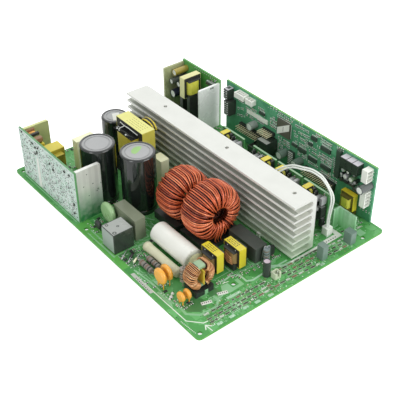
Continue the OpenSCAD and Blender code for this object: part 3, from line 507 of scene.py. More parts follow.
# Wound parts
def choke_copper(name, clean, soiled):
    """Enamelled copper, painted darker inside the holes of the two chokes as painted shade."""
    made = Finish(name, clean, soiled, 0.26, metallic=0.25, coat=0.3, grain=1500.0, soil=0.7)
    for node, size in (("front_choke_winding", 8.6), ("rear_choke_winding", 9.4)):
        low, high = low_high(node)
        middle = (low + high) / 2
        hole = Vector((size, 10.6, size))
        made.patch((middle - hole, middle + hole), (104, 46, 28), (70, 30, 20), 1500.0)
    return made.material


def thin_copper(name, clean, soiled, gloss, soil):
    """Fine enamelled wire of the common-mode choke and the gate transformers."""
    return plastic(name, clean, soiled, gloss, metallic=0.3, coat=0.3, grain=1800.0, soil=soil)


def around_transformers(name, clean, soiled, gloss):
    """Dark material that two of the transformers wear under a yellow tape."""
    made = Finish(name, clean, soiled, gloss, bump=0.12)
    made.patch(zone((66.0, FAR), (-97.0, -76.0)), (100, 94, 38), (76, 72, 32))
    made.patch(zone((-78.0, -56.0), (70.0, 90.0)), (204, 188, 70), (176, 160, 58))
    return made.material


# Three copies of the choke copper: one with painted highlights, the plain one and one with painted shade; the
# turns mix them at random, the shaded copy more in the deeper layers
copper_painted_highlight = choke_copper("copper_painted_highlight", (240, 142, 98), (204, 102, 62))
plain_copper = choke_copper("plain_copper", (222, 110, 66), (180, 80, 46))
copper_painted_shade = choke_copper("copper_painted_shade", (164, 70, 42), (118, 50, 32))
fine_copper = thin_copper("fine_copper", (226, 164, 108), (176, 116, 72), 0.35, 0.7)
pale_copper = thin_copper("pale_copper", (240, 192, 142), (200, 146, 98), 0.3, 0.6)
brown_copper = thin_copper("brown_copper", (184, 118, 74), (140, 84, 52), 0.35, 0.6)
powder_core = plastic("powder_core", (26, 18, 14), (18, 14, 12), 0.6)
green_core = (
    Finish("green_core", (146, 176, 138), (120, 153, 115), 0.35, coat=0.3)
    .patch(zone((-FAR, -58.4), (-FAR, -60.0)), (58, 36, 24), (40, 26, 18))
    .patch(zone((-52.8, 0.0), (-FAR, -60.0)), (58, 36, 24), (40, 26, 18))
    .material
)
ferrite = around_transformers("ferrite", (40, 40, 38), (60, 60, 56), 0.5)
bobbin_black = around_transformers("bobbin_black", (42, 47, 44), (60, 64, 62), 0.4)
pale_tape = (
    Finish("pale_tape", (226, 225, 134), (212, 210, 116), 0.34, coat=0.15)
    # Front face painted a deeper, darker yellow than the top: painted shade on the front face
    .patch(zone(y=(-FAR, low_high("power_tf_tape")[0].y + 0.4)), (206, 196, 84), (184, 174, 70))
    .material
)
yellow_tape = (
    Finish("yellow_tape", (222, 206, 54), (200, 182, 46), 0.32, coat=0.2)
    .patch(zone((40.0, FAR), (60.0, FAR)), (222, 220, 156), (206, 202, 134))
    .material
)
coil_yellow = (
    Finish("coil_yellow", (240, 220, 76), (214, 192, 60), 0.35, coat=0.2)
    .wound((0.0, 0.0, 1.0), 900.0, (188, 166, 48), 0.3)
    .material
)
coil_mixed = (
    Finish("coil_mixed", (196, 192, 64), (168, 162, 48), 0.35, coat=0.2)
    .patch(zone((-50.0, -10.0), (-100.0, -50.0)), (186, 152, 96), (140, 98, 56))
    .wound((0.0, 0.0, 1.0), 1300.0, (92, 74, 30), 0.5)
    .patch(zone(x=(60.0, FAR)), (236, 232, 88), (214, 208, 70))
    .material
)

# Plastics, sleeves and coatings
FRONT_CAN = zone((-20.0, 0.0), (-104.0, -90.0))
black_plastic = plastic("black_plastic", (42, 47, 44), (60, 64, 62), 0.4, bump=0.1)
matt_black = plastic("matt_black", (22, 24, 23), (32, 34, 33), 0.7, specular=0.2)
gloss_black = plastic("gloss_black", (46, 56, 48), (60, 70, 62), 0.24, coat=0.3)
slim_black = plastic("slim_black", (62, 68, 62), (74, 80, 74), 0.34, coat=0.15)
sleeve_black = plastic("sleeve_black", (22, 28, 26), (32, 38, 36), 0.1, coat=0.8, grain=300.0)
can_grey = (
    Finish("can_grey", (168, 170, 170), (152, 155, 156), 0.34, grain=500.0, bump=0.06)
    .specks((220, 222, 222), 240.0, 0.12, 0.14)
    .material
)
small_can_grey = (
    Finish("small_can_grey", (190, 192, 190), (168, 170, 168), 0.34, grain=500.0)
    .patch(FRONT_CAN, (206, 190, 200), (180, 168, 176))
    .patch(zone(x=(40.0, FAR)), (240, 243, 238), (222, 226, 220))
    .material
)
small_sleeve = (
    Finish("small_sleeve", (92, 98, 96), (70, 76, 74), 0.26, coat=0.3)
    .patch(FRONT_CAN, (58, 64, 62), (40, 46, 44))
    .patch(zone((40.0, FAR), (95.0, FAR), (35.0, FAR)), (168, 152, 66), (96, 88, 44), 260.0)
    .patch(zone((40.0, FAR), (95.0, FAR), (10.0, 24.0)), (52, 56, 78), (40, 44, 62))
    .patch(zone((40.0, FAR), (0.0, 40.0)), (150, 160, 154), (120, 132, 126))
    .patch(zone((40.0, FAR), (-50.0, 0.0)), (112, 132, 120), (88, 106, 96))
    .material
)
cream_plastic = plastic("cream_plastic", (250, 252, 214), (234, 237, 196), 0.38)
connector_pale = plastic("connector_pale", (246, 250, 242), (230, 236, 224), 0.36)
film_grey = (
    Finish("film_grey", (130, 138, 116), (112, 120, 100), 0.34, coat=0.2)
    .patch(zone(y=(-FAR, -100.0)), (110, 134, 122), (92, 114, 104))
    .material
)
green_epoxy = plastic("green_epoxy", (152, 188, 136), (134, 170, 118), 0.3, coat=0.3)
white_film = plastic("white_film", (230, 232, 224), (220, 222, 212), 0.3, coat=0.25)
beige_end = plastic("beige_end", (212, 214, 172), (194, 196, 152), 0.4)
cream_ceramic = plastic("cream_ceramic", (206, 206, 176), (184, 184, 150), 0.42, bump=0.2)
tan_resistor = (
    Finish("tan_resistor", (152, 146, 134), (126, 118, 108), 0.36, coat=0.3)
    .patch(zone((-20.0, 40.0), (-100.0, -70.0)), (132, 144, 144), (110, 122, 122))
    .material
)
grey_resistor = plastic("grey_resistor", (128, 122, 114), (104, 98, 92), 0.36, coat=0.3)
amber_epoxy = plastic("amber_epoxy", (238, 172, 62), (220, 150, 48), 0.24, coat=0.5)
yellow_plastic = plastic("yellow_plastic", (206, 182, 56), (184, 158, 46), 0.35)
white_plastic = (
    Finish("white_plastic", (238, 240, 232), (222, 226, 216), 0.36)
    .patch(zone((40.0, FAR), (0.0, FAR), (31.0, 37.0)), (240, 244, 234), (224, 230, 218))
    .patch(zone((-20.0, 0.0), (-110.0, -95.0)), (204, 214, 186), (184, 196, 166))
    .material
)
white_wire = plastic("white_wire", (234, 239, 232), (216, 223, 214), 0.36)
chip_black = (
    Finish("chip_black", (56, 72, 62), (72, 88, 76), 0.42)
    .patch(zone((40.0, FAR), (-21.0, -3.0), (28.0, FAR)), (92, 92, 80), (72, 76, 64))
    .material
)
relay_grey = plastic("relay_grey", (186, 184, 190), (160, 160, 164), 0.3, coat=0.2)
silk_white = plastic("silk_white", (222, 232, 218), (196, 214, 194), 0.5)
mint_copper = plastic("mint_copper", (136, 190, 142), (118, 176, 122), 0.34, coat=0.15, grain=300.0)
pale_mint = plastic("pale_mint", (160, 202, 168), (138, 186, 146), 0.34, coat=0.15, grain=300.0)
deep_green = plastic("deep_green", (70, 128, 72), (60, 114, 62), 0.34, coat=0.15, grain=300.0)
sticker_white = plastic("sticker_white", (222, 224, 216), (204, 208, 200), 0.5)
sticker_grey = plastic("sticker_grey", (190, 196, 186), (170, 178, 168), 0.5)
dark_ink = plastic("dark_ink", (42, 50, 45), (64, 72, 66), 0.5)
faint_ink = plastic("faint_ink", (160, 158, 88), (182, 180, 104), 0.5)
smd_body = plastic("smd_body", (50, 58, 48), (70, 78, 66), 0.4)
smd_olive = plastic("smd_olive", (66, 78, 56), (86, 98, 74), 0.4)
smd_brown = plastic("smd_brown", (150, 112, 82), (122, 86, 62), 0.4)
band_brown = plastic("band_brown", (124, 98, 82), (104, 84, 72), 0.36, coat=0.3)
lime_paint = plastic("lime_paint", (150, 194, 118), (132, 176, 104), 0.36)
glue_white = plastic("glue_white", (226, 228, 220), (206, 210, 200), 0.34, coat=0.3)
light_print = plastic("light_print", (162, 168, 162), (144, 150, 144), 0.3, coat=0.3)
# Pale sheet for the light relay's side: painted reflection, paler and darker in patches
painted_side_sheen = plastic("painted_side_sheen", (150, 164, 154), (76, 96, 84), 0.3, grain=60.0, soil=1.0)
sleeve_print = plastic("sleeve_print", (150, 166, 160), (112, 126, 120), 0.35)

FINISH_OF = {
    "main_pcb": board_green, "solder_joints": solder, "heatsink": sink_metal, "heatsink_feet": steel,
    "ground_clip": white_plastic, "power_transistors": black_plastic, "transistor_screws": steel,
    "heat_sensor": black_plastic, "front_choke_winding": plain_copper, "rear_choke_winding": plain_copper,
    "choke_cores": powder_core, "choke_bases": black_plastic, "capacitor_sleeves": sleeve_black,
    "capacitor_tops": can_grey, "power_tf_core": ferrite, "power_tf_tape": pale_tape,
    "power_tf_windings": coil_yellow, "power_tf_bobbin": matt_black, "aux_board": aux_pale,
    "aux_plates": plate_metal, "cream_boxes": cream_plastic, "grey_boxes": film_grey,
    "light_relay": gloss_black, "slim_relay": slim_black, "varistor": green_epoxy,
    "thermistor": black_plastic, "axial_capacitor": white_film, "rod_resistor": cream_ceramic,
    "upright_resistors": tan_resistor, "lying_resistors": grey_resistor, "disc_capacitors": amber_epoxy,
    "cm_core": green_core, "cm_windings": fine_copper, "cm_divider": yellow_plastic,
    "cm_base": black_plastic, "small_tf_cores": ferrite, "small_tf_tapes": yellow_tape,
    "small_tf_windings": coil_mixed, "small_tf_bobbins": bobbin_black,
    "small_capacitor_sleeves": small_sleeve, "small_capacitor_tops": small_can_grey,
    "small_transistor": black_plastic, "white_headers": white_plastic, "wire_connector": connector_pale,
    "sensor_wires": white_wire, "bent_plate": mirror_plate, "supply_board": supply_green,
    "supply_plates": supply_metal, "control_board": control_green, "black_connectors": slim_black,
    "control_chips": chip_black, "control_relays": gloss_black, "pin_headers": black_plastic,
    "driver_boards": driver_green,
}
for name, finish in FINISH_OF.items():
    cad[name].data.materials.clear()
    cad[name].data.materials.append(finish)


def soften(name, width):
    """Rounds the edges of a modelled node a little."""
    joined = cad[name].modifiers.new("joined", "WELD")
    joined.merge_threshold = 0.00001
    rounded = cad[name].modifiers.new("rounded", "BEVEL")
    rounded.width, rounded.segments = width * MM, 2
    rounded.limit_method, rounded.angle_limit = "ANGLE", math.radians(40)
    even = cad[name].modifiers.new("even", "WEIGHTED_NORMAL")
    even.keep_sharp = True


EDGE_ROUNDING = {
    "choke_bases": 0.4, "power_tf_core": 0.3, "power_tf_tape": 0.12, "cream_boxes": 0.5, "grey_boxes": 0.4,
    "light_relay": 0.4, "slim_relay": 0.5, "small_tf_cores": 0.2, "small_tf_tapes": 0.1,
    "wire_connector": 0.3, "supply_plates": 0.25, "control_chips": 0.2, "control_relays": 0.3,
    "power_transistors": 0.2, "cm_base": 0.4, "pin_headers": 0.2, "black_connectors": 0.25,
}
for name, width in EDGE_ROUNDING.items():
    soften(name, width)


class Piece:
    """Gathers the faces of one added piece, in millimetres."""

    def __init__(self, name, *materials):
        self.name, self.materials = name, materials
        self.points, self.faces, self.paint, self.soft = [], [], [], []

    def add(self, points, faces, paint, soft=False, place=None):
        first = len(self.points)
        self.points.extend(place @ Vector(p) if place else Vector(p) for p in points)
        self.faces.extend([first + i for i in f] for f in faces)
        self.paint.extend([paint] * len(faces))
        self.soft.extend([soft] * len(faces))

    def block(self, low, high, paint, edge, place=None):
        """Box with chamfered edges."""
        middle = [(a + b) / 2 for a, b in zip(low, high)]
        half = [(b - a) / 2 for a, b in zip(low, high)]
        cut = min(edge, 0.4 * min(half))
        points, at = [], {}
        signs = [(x, y, z) for x in (-1, 1) for y in (-1, 1) for z in (-1, 1)]
        for corner in signs:
            for axis in range(3):
                at[corner, axis] = len(points)
                points.append([m + s * (h - (0 if k == axis else cut))
                               for k, (m, s, h) in enumerate(zip(middle, corner, half))])
        faces = [[at[c, 0], at[c, 1], at[c, 2]] for c in signs]

        def corner_of(values):
            return tuple(values[k] for k in range(3))

        for axis in range(3):
            a, b = [k for k in range(3) if k != axis]
            for s in (-1, 1):
                ring = [corner_of({axis: s, a: u, b: v}) for u, v in ((-1, -1), (1, -1), (1, 1), (-1, 1))]
                faces.append([at[c, axis] for c in ring])
            for u in (-1, 1):
                for v in (-1, 1):
                    low_end, high_end = corner_of({axis: -1, a: u, b: v}), corner_of({axis: 1, a: u, b: v})
                    faces.append([at[low_end, a], at[high_end, a], at[high_end, b], at[low_end, b]])
        self.add(points, faces, paint, False, place)

    def stud(self, u, v, width, height, low, high, paint, edge, place):
        """Box round a middle point on a face, from one height over it to another."""
        w, h = width / 2, height / 2
        self.block((u - w, v - h, low), (u + w, v + h, high), paint, edge, place)

    def prism(self, outline, low, high, paint, place=None):
        """Flat outline raised from low to high."""
        n = len(outline)
        points = [(u, v, low) for u, v in outline] + [(u, v, high) for u, v in outline]
        faces = [list(range(n)), list(range(n, 2 * n))]
        faces += [[i, (i + 1) % n, n + (i + 1) % n, n + i] for i in range(n)]
        self.add(points, faces, paint, False, place)

    def patch(self, u, v, width, height, thick, paint, place):
        """Thin rectangle round a middle point on a face."""
        w, h = width / 2, height / 2
        self.prism([(u - w, v - h), (u + w, v - h), (u + w, v + h), (u - w, v + h)], 0.0, thick, paint, place)

    def stripe(self, route, width, low, high, paint, place):
        """Line of even width along a flat route."""
        left, right = [], []
        for i, p in enumerate(route):
            here = Vector(p)
            before = (here - Vector(route[i - 1])).normalized() if i else None
            after = (Vector(route[i + 1]) - here).normalized() if i + 1 < len(route) else None
            along = ((before or after) + (after or before)).normalized()
            across = Vector((-along.y, along.x))
            bend = abs(across.dot(Vector((-(after or before).y, (after or before).x))))
            reach = across * (width / 2 / max(bend, 0.4))
            left.append(tuple(here + reach))
            right.append(tuple(here - reach))
        for i in range(len(route) - 1):
            self.prism([left[i], left[i + 1], right[i + 1], right[i]], low, high, paint, place)

    def tube(self, route, radius, paint, sides, place=None):
        """Round wire along a route."""
        route = [Vector(p) for p in route]
        points, faces = [], []
        side = None
        for i, here in enumerate(route):
            ahead = (route[min(i + 1, len(route) - 1)] - route[max(i - 1, 0)]).normalized()
            if side is None:
                side = ahead.orthogonal().normalized()
            side = (side - ahead * side.dot(ahead)).normalized()
            other = ahead.cross(side)
            for k in range(sides):
                turn = 2 * math.pi * k / sides
                points.append(here + radius * (math.cos(turn) * side + math.sin(turn) * other))
        for i in range(len(route) - 1):
            for k in range(sides):
                j = (k + 1) % sides
                faces.append([i * sides + k, i * sides + j, (i + 1) * sides + j, (i + 1) * sides + k])
        self.add(points, faces, paint, True, place)
        last = (len(route) - 1) * sides
        self.add(points, [list(range(sides)), [last + k for k in range(sides)]], paint, False, place)

    def turned(self, profile, paint, sides, place, soft=True):
        """Round body from (radius, height) pairs; the ends close on the axis."""
        points, faces = [], []
        rings = []
        for radius, height in profile:
            if radius <= 1e-6:
                rings.append([len(points)])
                points.append((0.0, 0.0, height))
                continue
            rings.append(list(range(len(points), len(points) + sides)))
            for k in range(sides):
                turn = 2 * math.pi * k / sides
                points.append((radius * math.cos(turn), radius * math.sin(turn), height))
        for low, high in zip(rings, rings[1:]):
            for k in range(sides):
                j = (k + 1) % sides
                corners = [low[k % len(low)], low[j % len(low)], high[j % len(high)], high[k % len(high)]]
                faces.append(list(dict.fromkeys(corners)))
        self.add(points, [f for f in faces if len(f) > 2], paint, soft, place)

    def can(self, place, radius, length, paint, end_paint):
        """Small round can that stands out of a face, with a paler end."""
        self.turned([(0.0, 0.0), (radius, 0.0), (radius, length - 0.5), (radius * 0.94, length - 0.1),
                     (radius * 0.8, length), (0.0, length)], paint, 20, place)
        top = length + 0.06
        self.turned([(0.0, length), (radius * 0.78, length), (radius * 0.74, top), (0.0, top)], end_paint, 20,
                    place, False)

    def bead(self, place, radius, height, paint, sides=8):
        """Dome of solder or glue that stands on a face."""
        dome = [(radius, 0.0), (radius * 0.86, height * 0.45), (radius * 0.5, height * 0.85), (0.0, height)]
        self.turned(dome, paint, sides, place)

    def build(self):
        mesh = bpy.data.meshes.new(self.name)
        mesh.from_pydata([p * MM for p in self.points], [], self.faces)
        for finish in self.materials:
            mesh.materials.append(finish)
        mesh.polygons.foreach_set("material_index", self.paint)
        mesh.polygons.foreach_set("use_smooth", self.soft)
        shell = bmesh.new()
        shell.from_mesh(mesh)
        bmesh.ops.remove_doubles(shell, verts=shell.verts, dist=1e-7)
        bmesh.ops.recalc_face_normals(shell, faces=shell.faces)
        shell.to_mesh(mesh)
        shell.free()
        made = bpy.data.objects.new(self.name, mesh)
        bpy.context.scene.collection.objects.link(made)
        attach(made, "root")
        return made


def face_frame(origin, along, up, out):
    """Frame on a board face: along it, up it and out of it."""
    made = Matrix.Identity(4)
    for column, axis in enumerate((along, up, out)):
        for row in range(3):
            made[row][column] = axis[row]
    made.translation = Vector(origin)
    return made


def upright_face(x):
    """Frame on an upright board: places count from the front edge, heights from the main board."""
    return face_frame((x, FRONT_EDGE, BOARD_TOP), (0, 1, 0), (0, 0, 1), (-1, 0, 0))


ON_BOARD = face_frame((0, 0, BOARD_TOP), (1, 0, 0), (0, 1, 0), (0, 0, 1))
ON_CONTROL = upright_face(CONTROL_FACE)
ON_SUPPLY = upright_face(SUPPLY_FACE)
ON_AUX = upright_face(AUX_FACE)
ON_DRIVER = upright_face(DRIVER_FACE)


def spot(place, u, v, turn=0.0):
    """Frame at a place on a board face."""
    return place @ Matrix.Translation((u, v, 0.0)) @ Matrix.Rotation(math.radians(turn), 4, "Z")


def passive(piece, place, length, width, height, body, caps, share=0.26):
    """Small surface part with two metal ends, each a share of its length."""
    end = length * share
    piece.stud(0.0, 0.0, length - 2 * end, width, 0.0, height, body, 0.05, place)
    for side in (-1, 1):
        piece.stud(side * (length - end) / 2, 0.0, end, width + 0.06, 0.0, height + 0.04, caps, 0.06, place)


def chip_legs(piece, place, length, width, legs, metal):
    """Bent legs along the two long sides of a chip."""
    pitch = length / legs
    for k in range(legs):
        u = (k + 0.5) * pitch - length / 2
        for side in (-1, 1):
            piece.stud(u, side * (width / 2 + 0.51), pitch * 0.48, 0.98, 0.0, 0.35, metal, 0.05, place)


# Main board: printed lines, copper areas under the mask, labels and outlines of large parts
EDGE_LINE = [(-80.6, -43), (-80.4, -66.4), (-80.1, -98.3), (-72.7, -106.5), (-69.4, -106.9)]
ARROW_TIP, ARROW_TAIL, ARROW_BARBS = (-72.9, -108.6), (-72.4, -115.2), ((-75.2, -112.1), (-70.0, -111.9))
SHORT_LINE = [(-40.5, -86.2), (-36.2, -87.2)]
MIDDLE_LINE = [
    (-43.5, -83.4), (-37.0, -84.7), (-31.9, -83.8), (-26.4, -87.0), (-26.6, -94.4), (-22.6, -96.3),
    (-13.8, -95.7), (-5.5, -95.3),
]
SINK_BAND = [(-8.5, -94.6), (-3.6, -93.8), (3.0, -98.6), (11.0, -99.2), (36.0, -99.2)]
SINK_LINE = [(-4.5, -95.8), (8.5, -95.8)]
MINT_LINES = [
    ([(-78.3, -38.8), (-76.4, -57.9), (-76.9, -81.5)], 1.1),
    ([(-75.3, -81.6), (-76.4, -93.4), (-70.0, -99.7), (-57.6, -100.5), (-52.4, -96.6), (-52.8, -91.5)], 1.8),
    ([(-66.0, -8.0), (-52.0, -20.0), (-40.0, -22.0)], 1.0),
    ([(60.0, -99.0), (76.0, -99.0), (80.0, -94.0), (80.0, -40.0)], 1.2),
    ([(-62.0, 16.0), (-40.0, 3.0), (-36.0, -4.0)], 1.2),
    ([(-78.0, 15.0), (-78.0, -4.0)], 1.0),
    ([(-30.0, -60.0), (-20.0, -75.0), (-6.0, -80.0)], 1.2),
    ([(-62.0, -20.5), (-40.0, -20.5), (-32.0, -26.0)], 1.6),
    ([(60.0, -86.0), (74.0, -86.0), (78.0, -80.0)], 1.0),
    ([(58.5, -94.5), (70.0, -94.5)], 0.8),
    ([(66.0, -99.0), (66.0, -90.0)], 0.8),
    ([(-81.5, -20.0), (-81.5, 14.0)], 0.8),
    ([(-81.0, 30.0), (-81.0, 104.0)], 0.9),
]
DARK_FIELDS = [
    [(-74.5, -85.8), (-74.3, -92.8), (-68.4, -97.6), (-62.1, -96.9), (-59.6, -89.6), (-62.9, -84.5)],
    [(-78.5, -20.0), (-78.5, -38.0), (-70.0, -38.0), (-66.0, -33.0), (-66.0, -20.0)],
    [(-55.0, -87.5), (-47.0, -86.0), (-46.0, -91.0), (-54.0, -92.0)],
    [(-12.0, -92.0), (-4.0, -92.0), (-4.0, -86.0), (-12.0, -86.0)],
]
MINT_FIELDS = [
    [(-43.1, -87.6), (-37.6, -88.0), (-37.6, -95.9), (-40.8, -96.2), (-47.2, -95.2)],
    [(-32.2, -88.4), (-29.4, -88.6), (-29.6, -95.6), (-32.2, -95.7)],
    [(-37.6, -93.4), (-32.2, -93.4), (-32.2, -95.7), (-37.6, -95.9)],
    [(-79.5, -66.0), (-77.5, -66.0), (-77.5, -80.0), (-79.5, -84.0)],
    [(-75.0, -56.0), (-68.0, -58.0), (-68.0, -63.0), (-75.0, -62.0)],
    [(66.0, -110.0), (72.0, -110.0), (72.0, -104.0), (66.0, -104.0)],
    [(-62.0, 70.0), (-52.0, 70.0), (-52.0, 84.0), (-62.0, 84.0)],
]
PALE_FIELD = [(-47.6, -98.0), (-36.0, -98.2), (-36.0, -100.4), (-47.0, -100.2)]
FRONT_PADS = [
    (-64.8, -113.0), (-54.8, -113.1), (-43.1, -112.6), (-33.7, -113.4), (-22.9, -114.2), (24.0, -113.8),
]
EDGE_LABEL = [(-82.6, -40.8), (-79.9, -41.2), (-80.6, -64.6), (-83.2, -64.2)]
SINK_LABEL = [(39.6, -101.0), (57.2, -101.0), (57.2, -91.6), (53.6, -91.6), (53.6, -97.0), (40.0, -97.0)]
SINK_STRIP = [(9.0, -99.8), (37.0, -100.2), (37.0, -98.5), (9.0, -98.5)]
TAGS = [(-60.0, -93.8), (-46.4, -93.4)]
# Middle, half width and half length of each outline
PART_OUTLINES = [
    (-71.6, -10.5, 9.4, 8.7), (-5.6, -71.1, 6.6, 15.3), (-46.2, -43.1, 9.2, 21.6), (-36.2, -70.7, 7.2, 9.4),
    (-21.3, -76.1, 7.2, 9.4), (-55.5, -2.0, 5.6, 14.2),
]
LINE_WIDTH, PRINT_HIGH, LABEL_HIGH, INK_HIGH = 0.7, 0.05, 0.08, 0.1


def board_prints():
    piece = Piece("board_prints", silk_white, mint_copper, sticker_white, sticker_grey, dark_ink, deep_green,
                  pale_mint)
    silk, mint, sticker, grey, ink, deep, pale = range(7)
    for line in (EDGE_LINE, [ARROW_TIP, ARROW_TAIL], SHORT_LINE):
        piece.stripe(line, LINE_WIDTH, 0.0, PRINT_HIGH, silk, ON_BOARD)
    for barb in ARROW_BARBS:
        piece.stripe([ARROW_TIP, barb], LINE_WIDTH, 0.0, PRINT_HIGH + 0.01, silk, ON_BOARD)
    for k in range(11):
        piece.patch(-82.9 + 0.1 * k, -97.0 - 1.3 * k, 0.5, 0.75, PRINT_HIGH, silk, ON_BOARD)
    for line, width, high in ((MIDDLE_LINE, 1.4, PRINT_HIGH), (SINK_BAND, 2.2, 0.03), (SINK_LINE, 1.2, 0.04)):
        piece.stripe(line, width, 0.0, high, pale, ON_BOARD)
    for route, width in MINT_LINES:
        piece.stripe(route, width, 0.0, 0.03, mint, ON_BOARD)
    for field in DARK_FIELDS:
        piece.prism(field, 0.0, 0.02, deep, ON_BOARD)
    for field in MINT_FIELDS:
        piece.prism(field, 0.0, 0.025, mint, ON_BOARD)
    piece.prism(PALE_FIELD, 0.0, 0.025, pale, ON_BOARD)
    for x, y in FRONT_PADS:
        piece.stud(x, y, 4.2, 2.2, 0.0, 0.03, pale, 0.01, ON_BOARD)
    piece.prism(EDGE_LABEL, 0.0, LABEL_HIGH, grey, ON_BOARD)
    for k in range(9):
        piece.patch(-81.9 - 0.05 * k, -46.5 - 1.9 * k, 0.7, 0.9, INK_HIGH, ink, ON_BOARD)
    piece.prism(SINK_LABEL, 0.0, LABEL_HIGH, sticker, ON_BOARD)
    piece.prism(SINK_STRIP, 0.0, 0.06, sticker, ON_BOARD)
    for k in range(5):
        piece.patch(43.0 + 2.2 * k, -99.4, 1.1, 0.8, INK_HIGH, ink, ON_BOARD)
    for x, y in TAGS:
        tag = spot(ON_BOARD, x, y, -18)
        piece.stud(0.0, 0.0, 7.2, 2.6, 0.0, 0.5, sticker, 0.1, tag)
        for k in range(5):
            piece.stud(1.4 * k - 2.8, 0.0, 0.6, 0.8, 0.5, 0.56, ink, 0.01, tag)
    for x, y, wide, long in PART_OUTLINES:
        corners = [(x - wide, y - long), (x + wide, y - long), (x + wide, y + long), (x - wide, y + long)]
        for a, b in zip(corners, corners[1:] + corners[:1]):
            piece.stripe([a, b], 0.3, 0.0, 0.04, pale, ON_BOARD)
    piece.build()


def scatter(pick, low, high, count, apart):
    """Places inside a rectangle that keep a distance from one another."""
    taken = []
    for _ in range(count * 5):
        u, v = pick.uniform(low[0], high[0]), pick.uniform(low[1], high[1])
        if len(taken) < count and all(abs(u - a) > apart or abs(v - b) > apart for a, b in taken):
            taken.append((u, v))
    return taken


# Rows of small parts along the front edge: first and last place of each row
FRONT_ROWS = [
    ((-68.6, -101.7), (-19.6, -102.9)), ((-68.9, -106.2), (-15.4, -107.2)),
    ((-69.4, -109.2), (-13.0, -110.6)), ((-3.5, -100.0), (33.0, -101.4)), ((-3.6, -104.2), (27.0, -105.8)),
    ((-11.0, -110.2), (25.0, -112.6)), ((-1.5, -107.4), (20.0, -108.8)), ((38.8, -103.4), (55.8, -104.4)),
    ((36.0, -106.6), (51.0, -107.6)), ((34.0, -109.8), (50.0, -111.0)), ((62.0, -102.6), (74.0, -102.6)),
    ((58.5, -98.4), (66.0, -98.4)),
]


def front_row_parts():
    piece = Piece("front_row_parts", smd_olive, dull_tin, mint_copper, silk_white, smd_brown)
    body, metal, mint, silk, brown = range(5)
    pick = random.Random(11)
    for start, end in FRONT_ROWS:
        start, end = Vector(start), Vector(end)
        length = (end - start).length
        turn = math.degrees(math.atan2(end.y - start.y, end.x - start.x))
        row = spot(ON_BOARD, start.x, start.y, turn)
        here = 0.0
        while here < length - 1.0:
            count = pick.choice((2, 3, 3, 4))
            paint = pick.choice((body, body, body, brown, silk))
            if pick.random() < 0.35:
                piece.patch(here + count * 0.5, 0.0, count + 0.4, 1.9, 0.04, mint, row)
            for k in range(count):
                passive(piece, spot(row, here + k + 0.5, 0.0, 90), 1.7, 0.6, 0.5, paint, metal, 0.17)
            here += count + 0.7
            if pick.random() < 0.6:
                piece.patch(here + 0.35, pick.choice((-0.5, 0.0, 0.5)), 0.5, 1.3, 0.03, silk, row)
            if pick.random() < 0.35:
                piece.bead(spot(row, here + 0.9, pick.choice((-1.6, 1.5))), 0.4, 0.12, metal)
            here += pick.choice((0.4, 0.9, 1.5))
    # Vias, short marks and bare pads between the rows
    for x, y in scatter(pick, (-70.0, -114.6), (54.0, -97.0), 520, 0.9):
        at = spot(ON_BOARD, x, y, pick.choice((0, 90, 90, 45)))
        width, height = pick.uniform(0.5, 1.5), pick.uniform(0.3, 0.5)
        piece.patch(0.0, 0.0, width, height, 0.045, pick.choice((body, body, mint, silk, brown)), at)
    piece.build()


# Fields of copper traces on the main board: low corner, high corner, how many
TRACE_FIELDS = [
    ((-80.0, -62.0), (-62.0, -20.0), 34), ((-62.0, -18.0), (-38.0, 4.0), 22),
    ((-72.0, -98.0), (-40.0, -84.0), 24), ((-30.0, -96.0), (8.0, -84.0), 22),
    ((34.0, -98.0), (80.0, -66.0), 40), ((-78.0, 4.0), (-58.0, 26.0), 18),
    ((-58.0, 60.0), (-24.0, 112.0), 34), ((34.0, -60.0), (80.0, 50.0), 60),
    ((-20.0, 96.0), (60.0, 113.0), 40), ((-74.0, 30.0), (-66.0, 108.0), 14),
    ((-66.0, -113.0), (30.0, -99.0), 50), ((40.0, -114.0), (80.0, -100.0), 22),
    ((-34.0, -58.0), (4.0, -50.0), 10), ((36.0, 54.0), (80.0, 96.0), 30),
]
MOUNTING_HOLES = [(-79.7, 110.8), (-79.7, 18.6), (-79.7, -111.7), (-34.9, -90.8), (66.5, -111.7)]
HOLE_CLEARANCE = 7.0
# Each trace lies a hair over the one before, so that none share a face
TRACE_HIGH, TRACE_STEP = 0.006, 0.00002


def board_traces():
    piece = Piece("board_traces", mint_copper, pale_mint, deep_green)
    pick = random.Random(57)
    laid = 0
    for low, high, count in TRACE_FIELDS:
        for _ in range(count):
            x, y = pick.uniform(low[0], high[0]), pick.uniform(low[1], high[1])
            along = pick.choice((Vector((0, 1)), Vector((1, 0)), Vector((0, -1))))
            across = Vector((along.y, along.x))
            bend = pick.choice((-1, 1)) * across
            run, slant = pick.uniform(3.0, 8.0), pick.uniform(1.0, 2.6)
            route = [Vector((x, y))]
            for step in (along * run, (along + bend) * slant, along * run * 0.7):
                route.append(route[-1] + step)
            if any(not (low[0] < p.x < high[0] and low[1] < p.y < high[1]) for p in route):
                continue
            if any((p - Vector(hole)).length < HOLE_CLEARANCE for p in route for hole in MOUNTING_HOLES):
                continue
            for k in range(pick.choice((1, 2, 3))):
                width, paint = pick.uniform(0.3, 0.55), pick.choice((0, 0, 1, 2))
                beside = [tuple(p + across * k) for p in route]
                piece.stripe(beside, width, 0.0, TRACE_HIGH + TRACE_STEP * laid, paint, ON_BOARD)
                laid += 1
    piece.build()


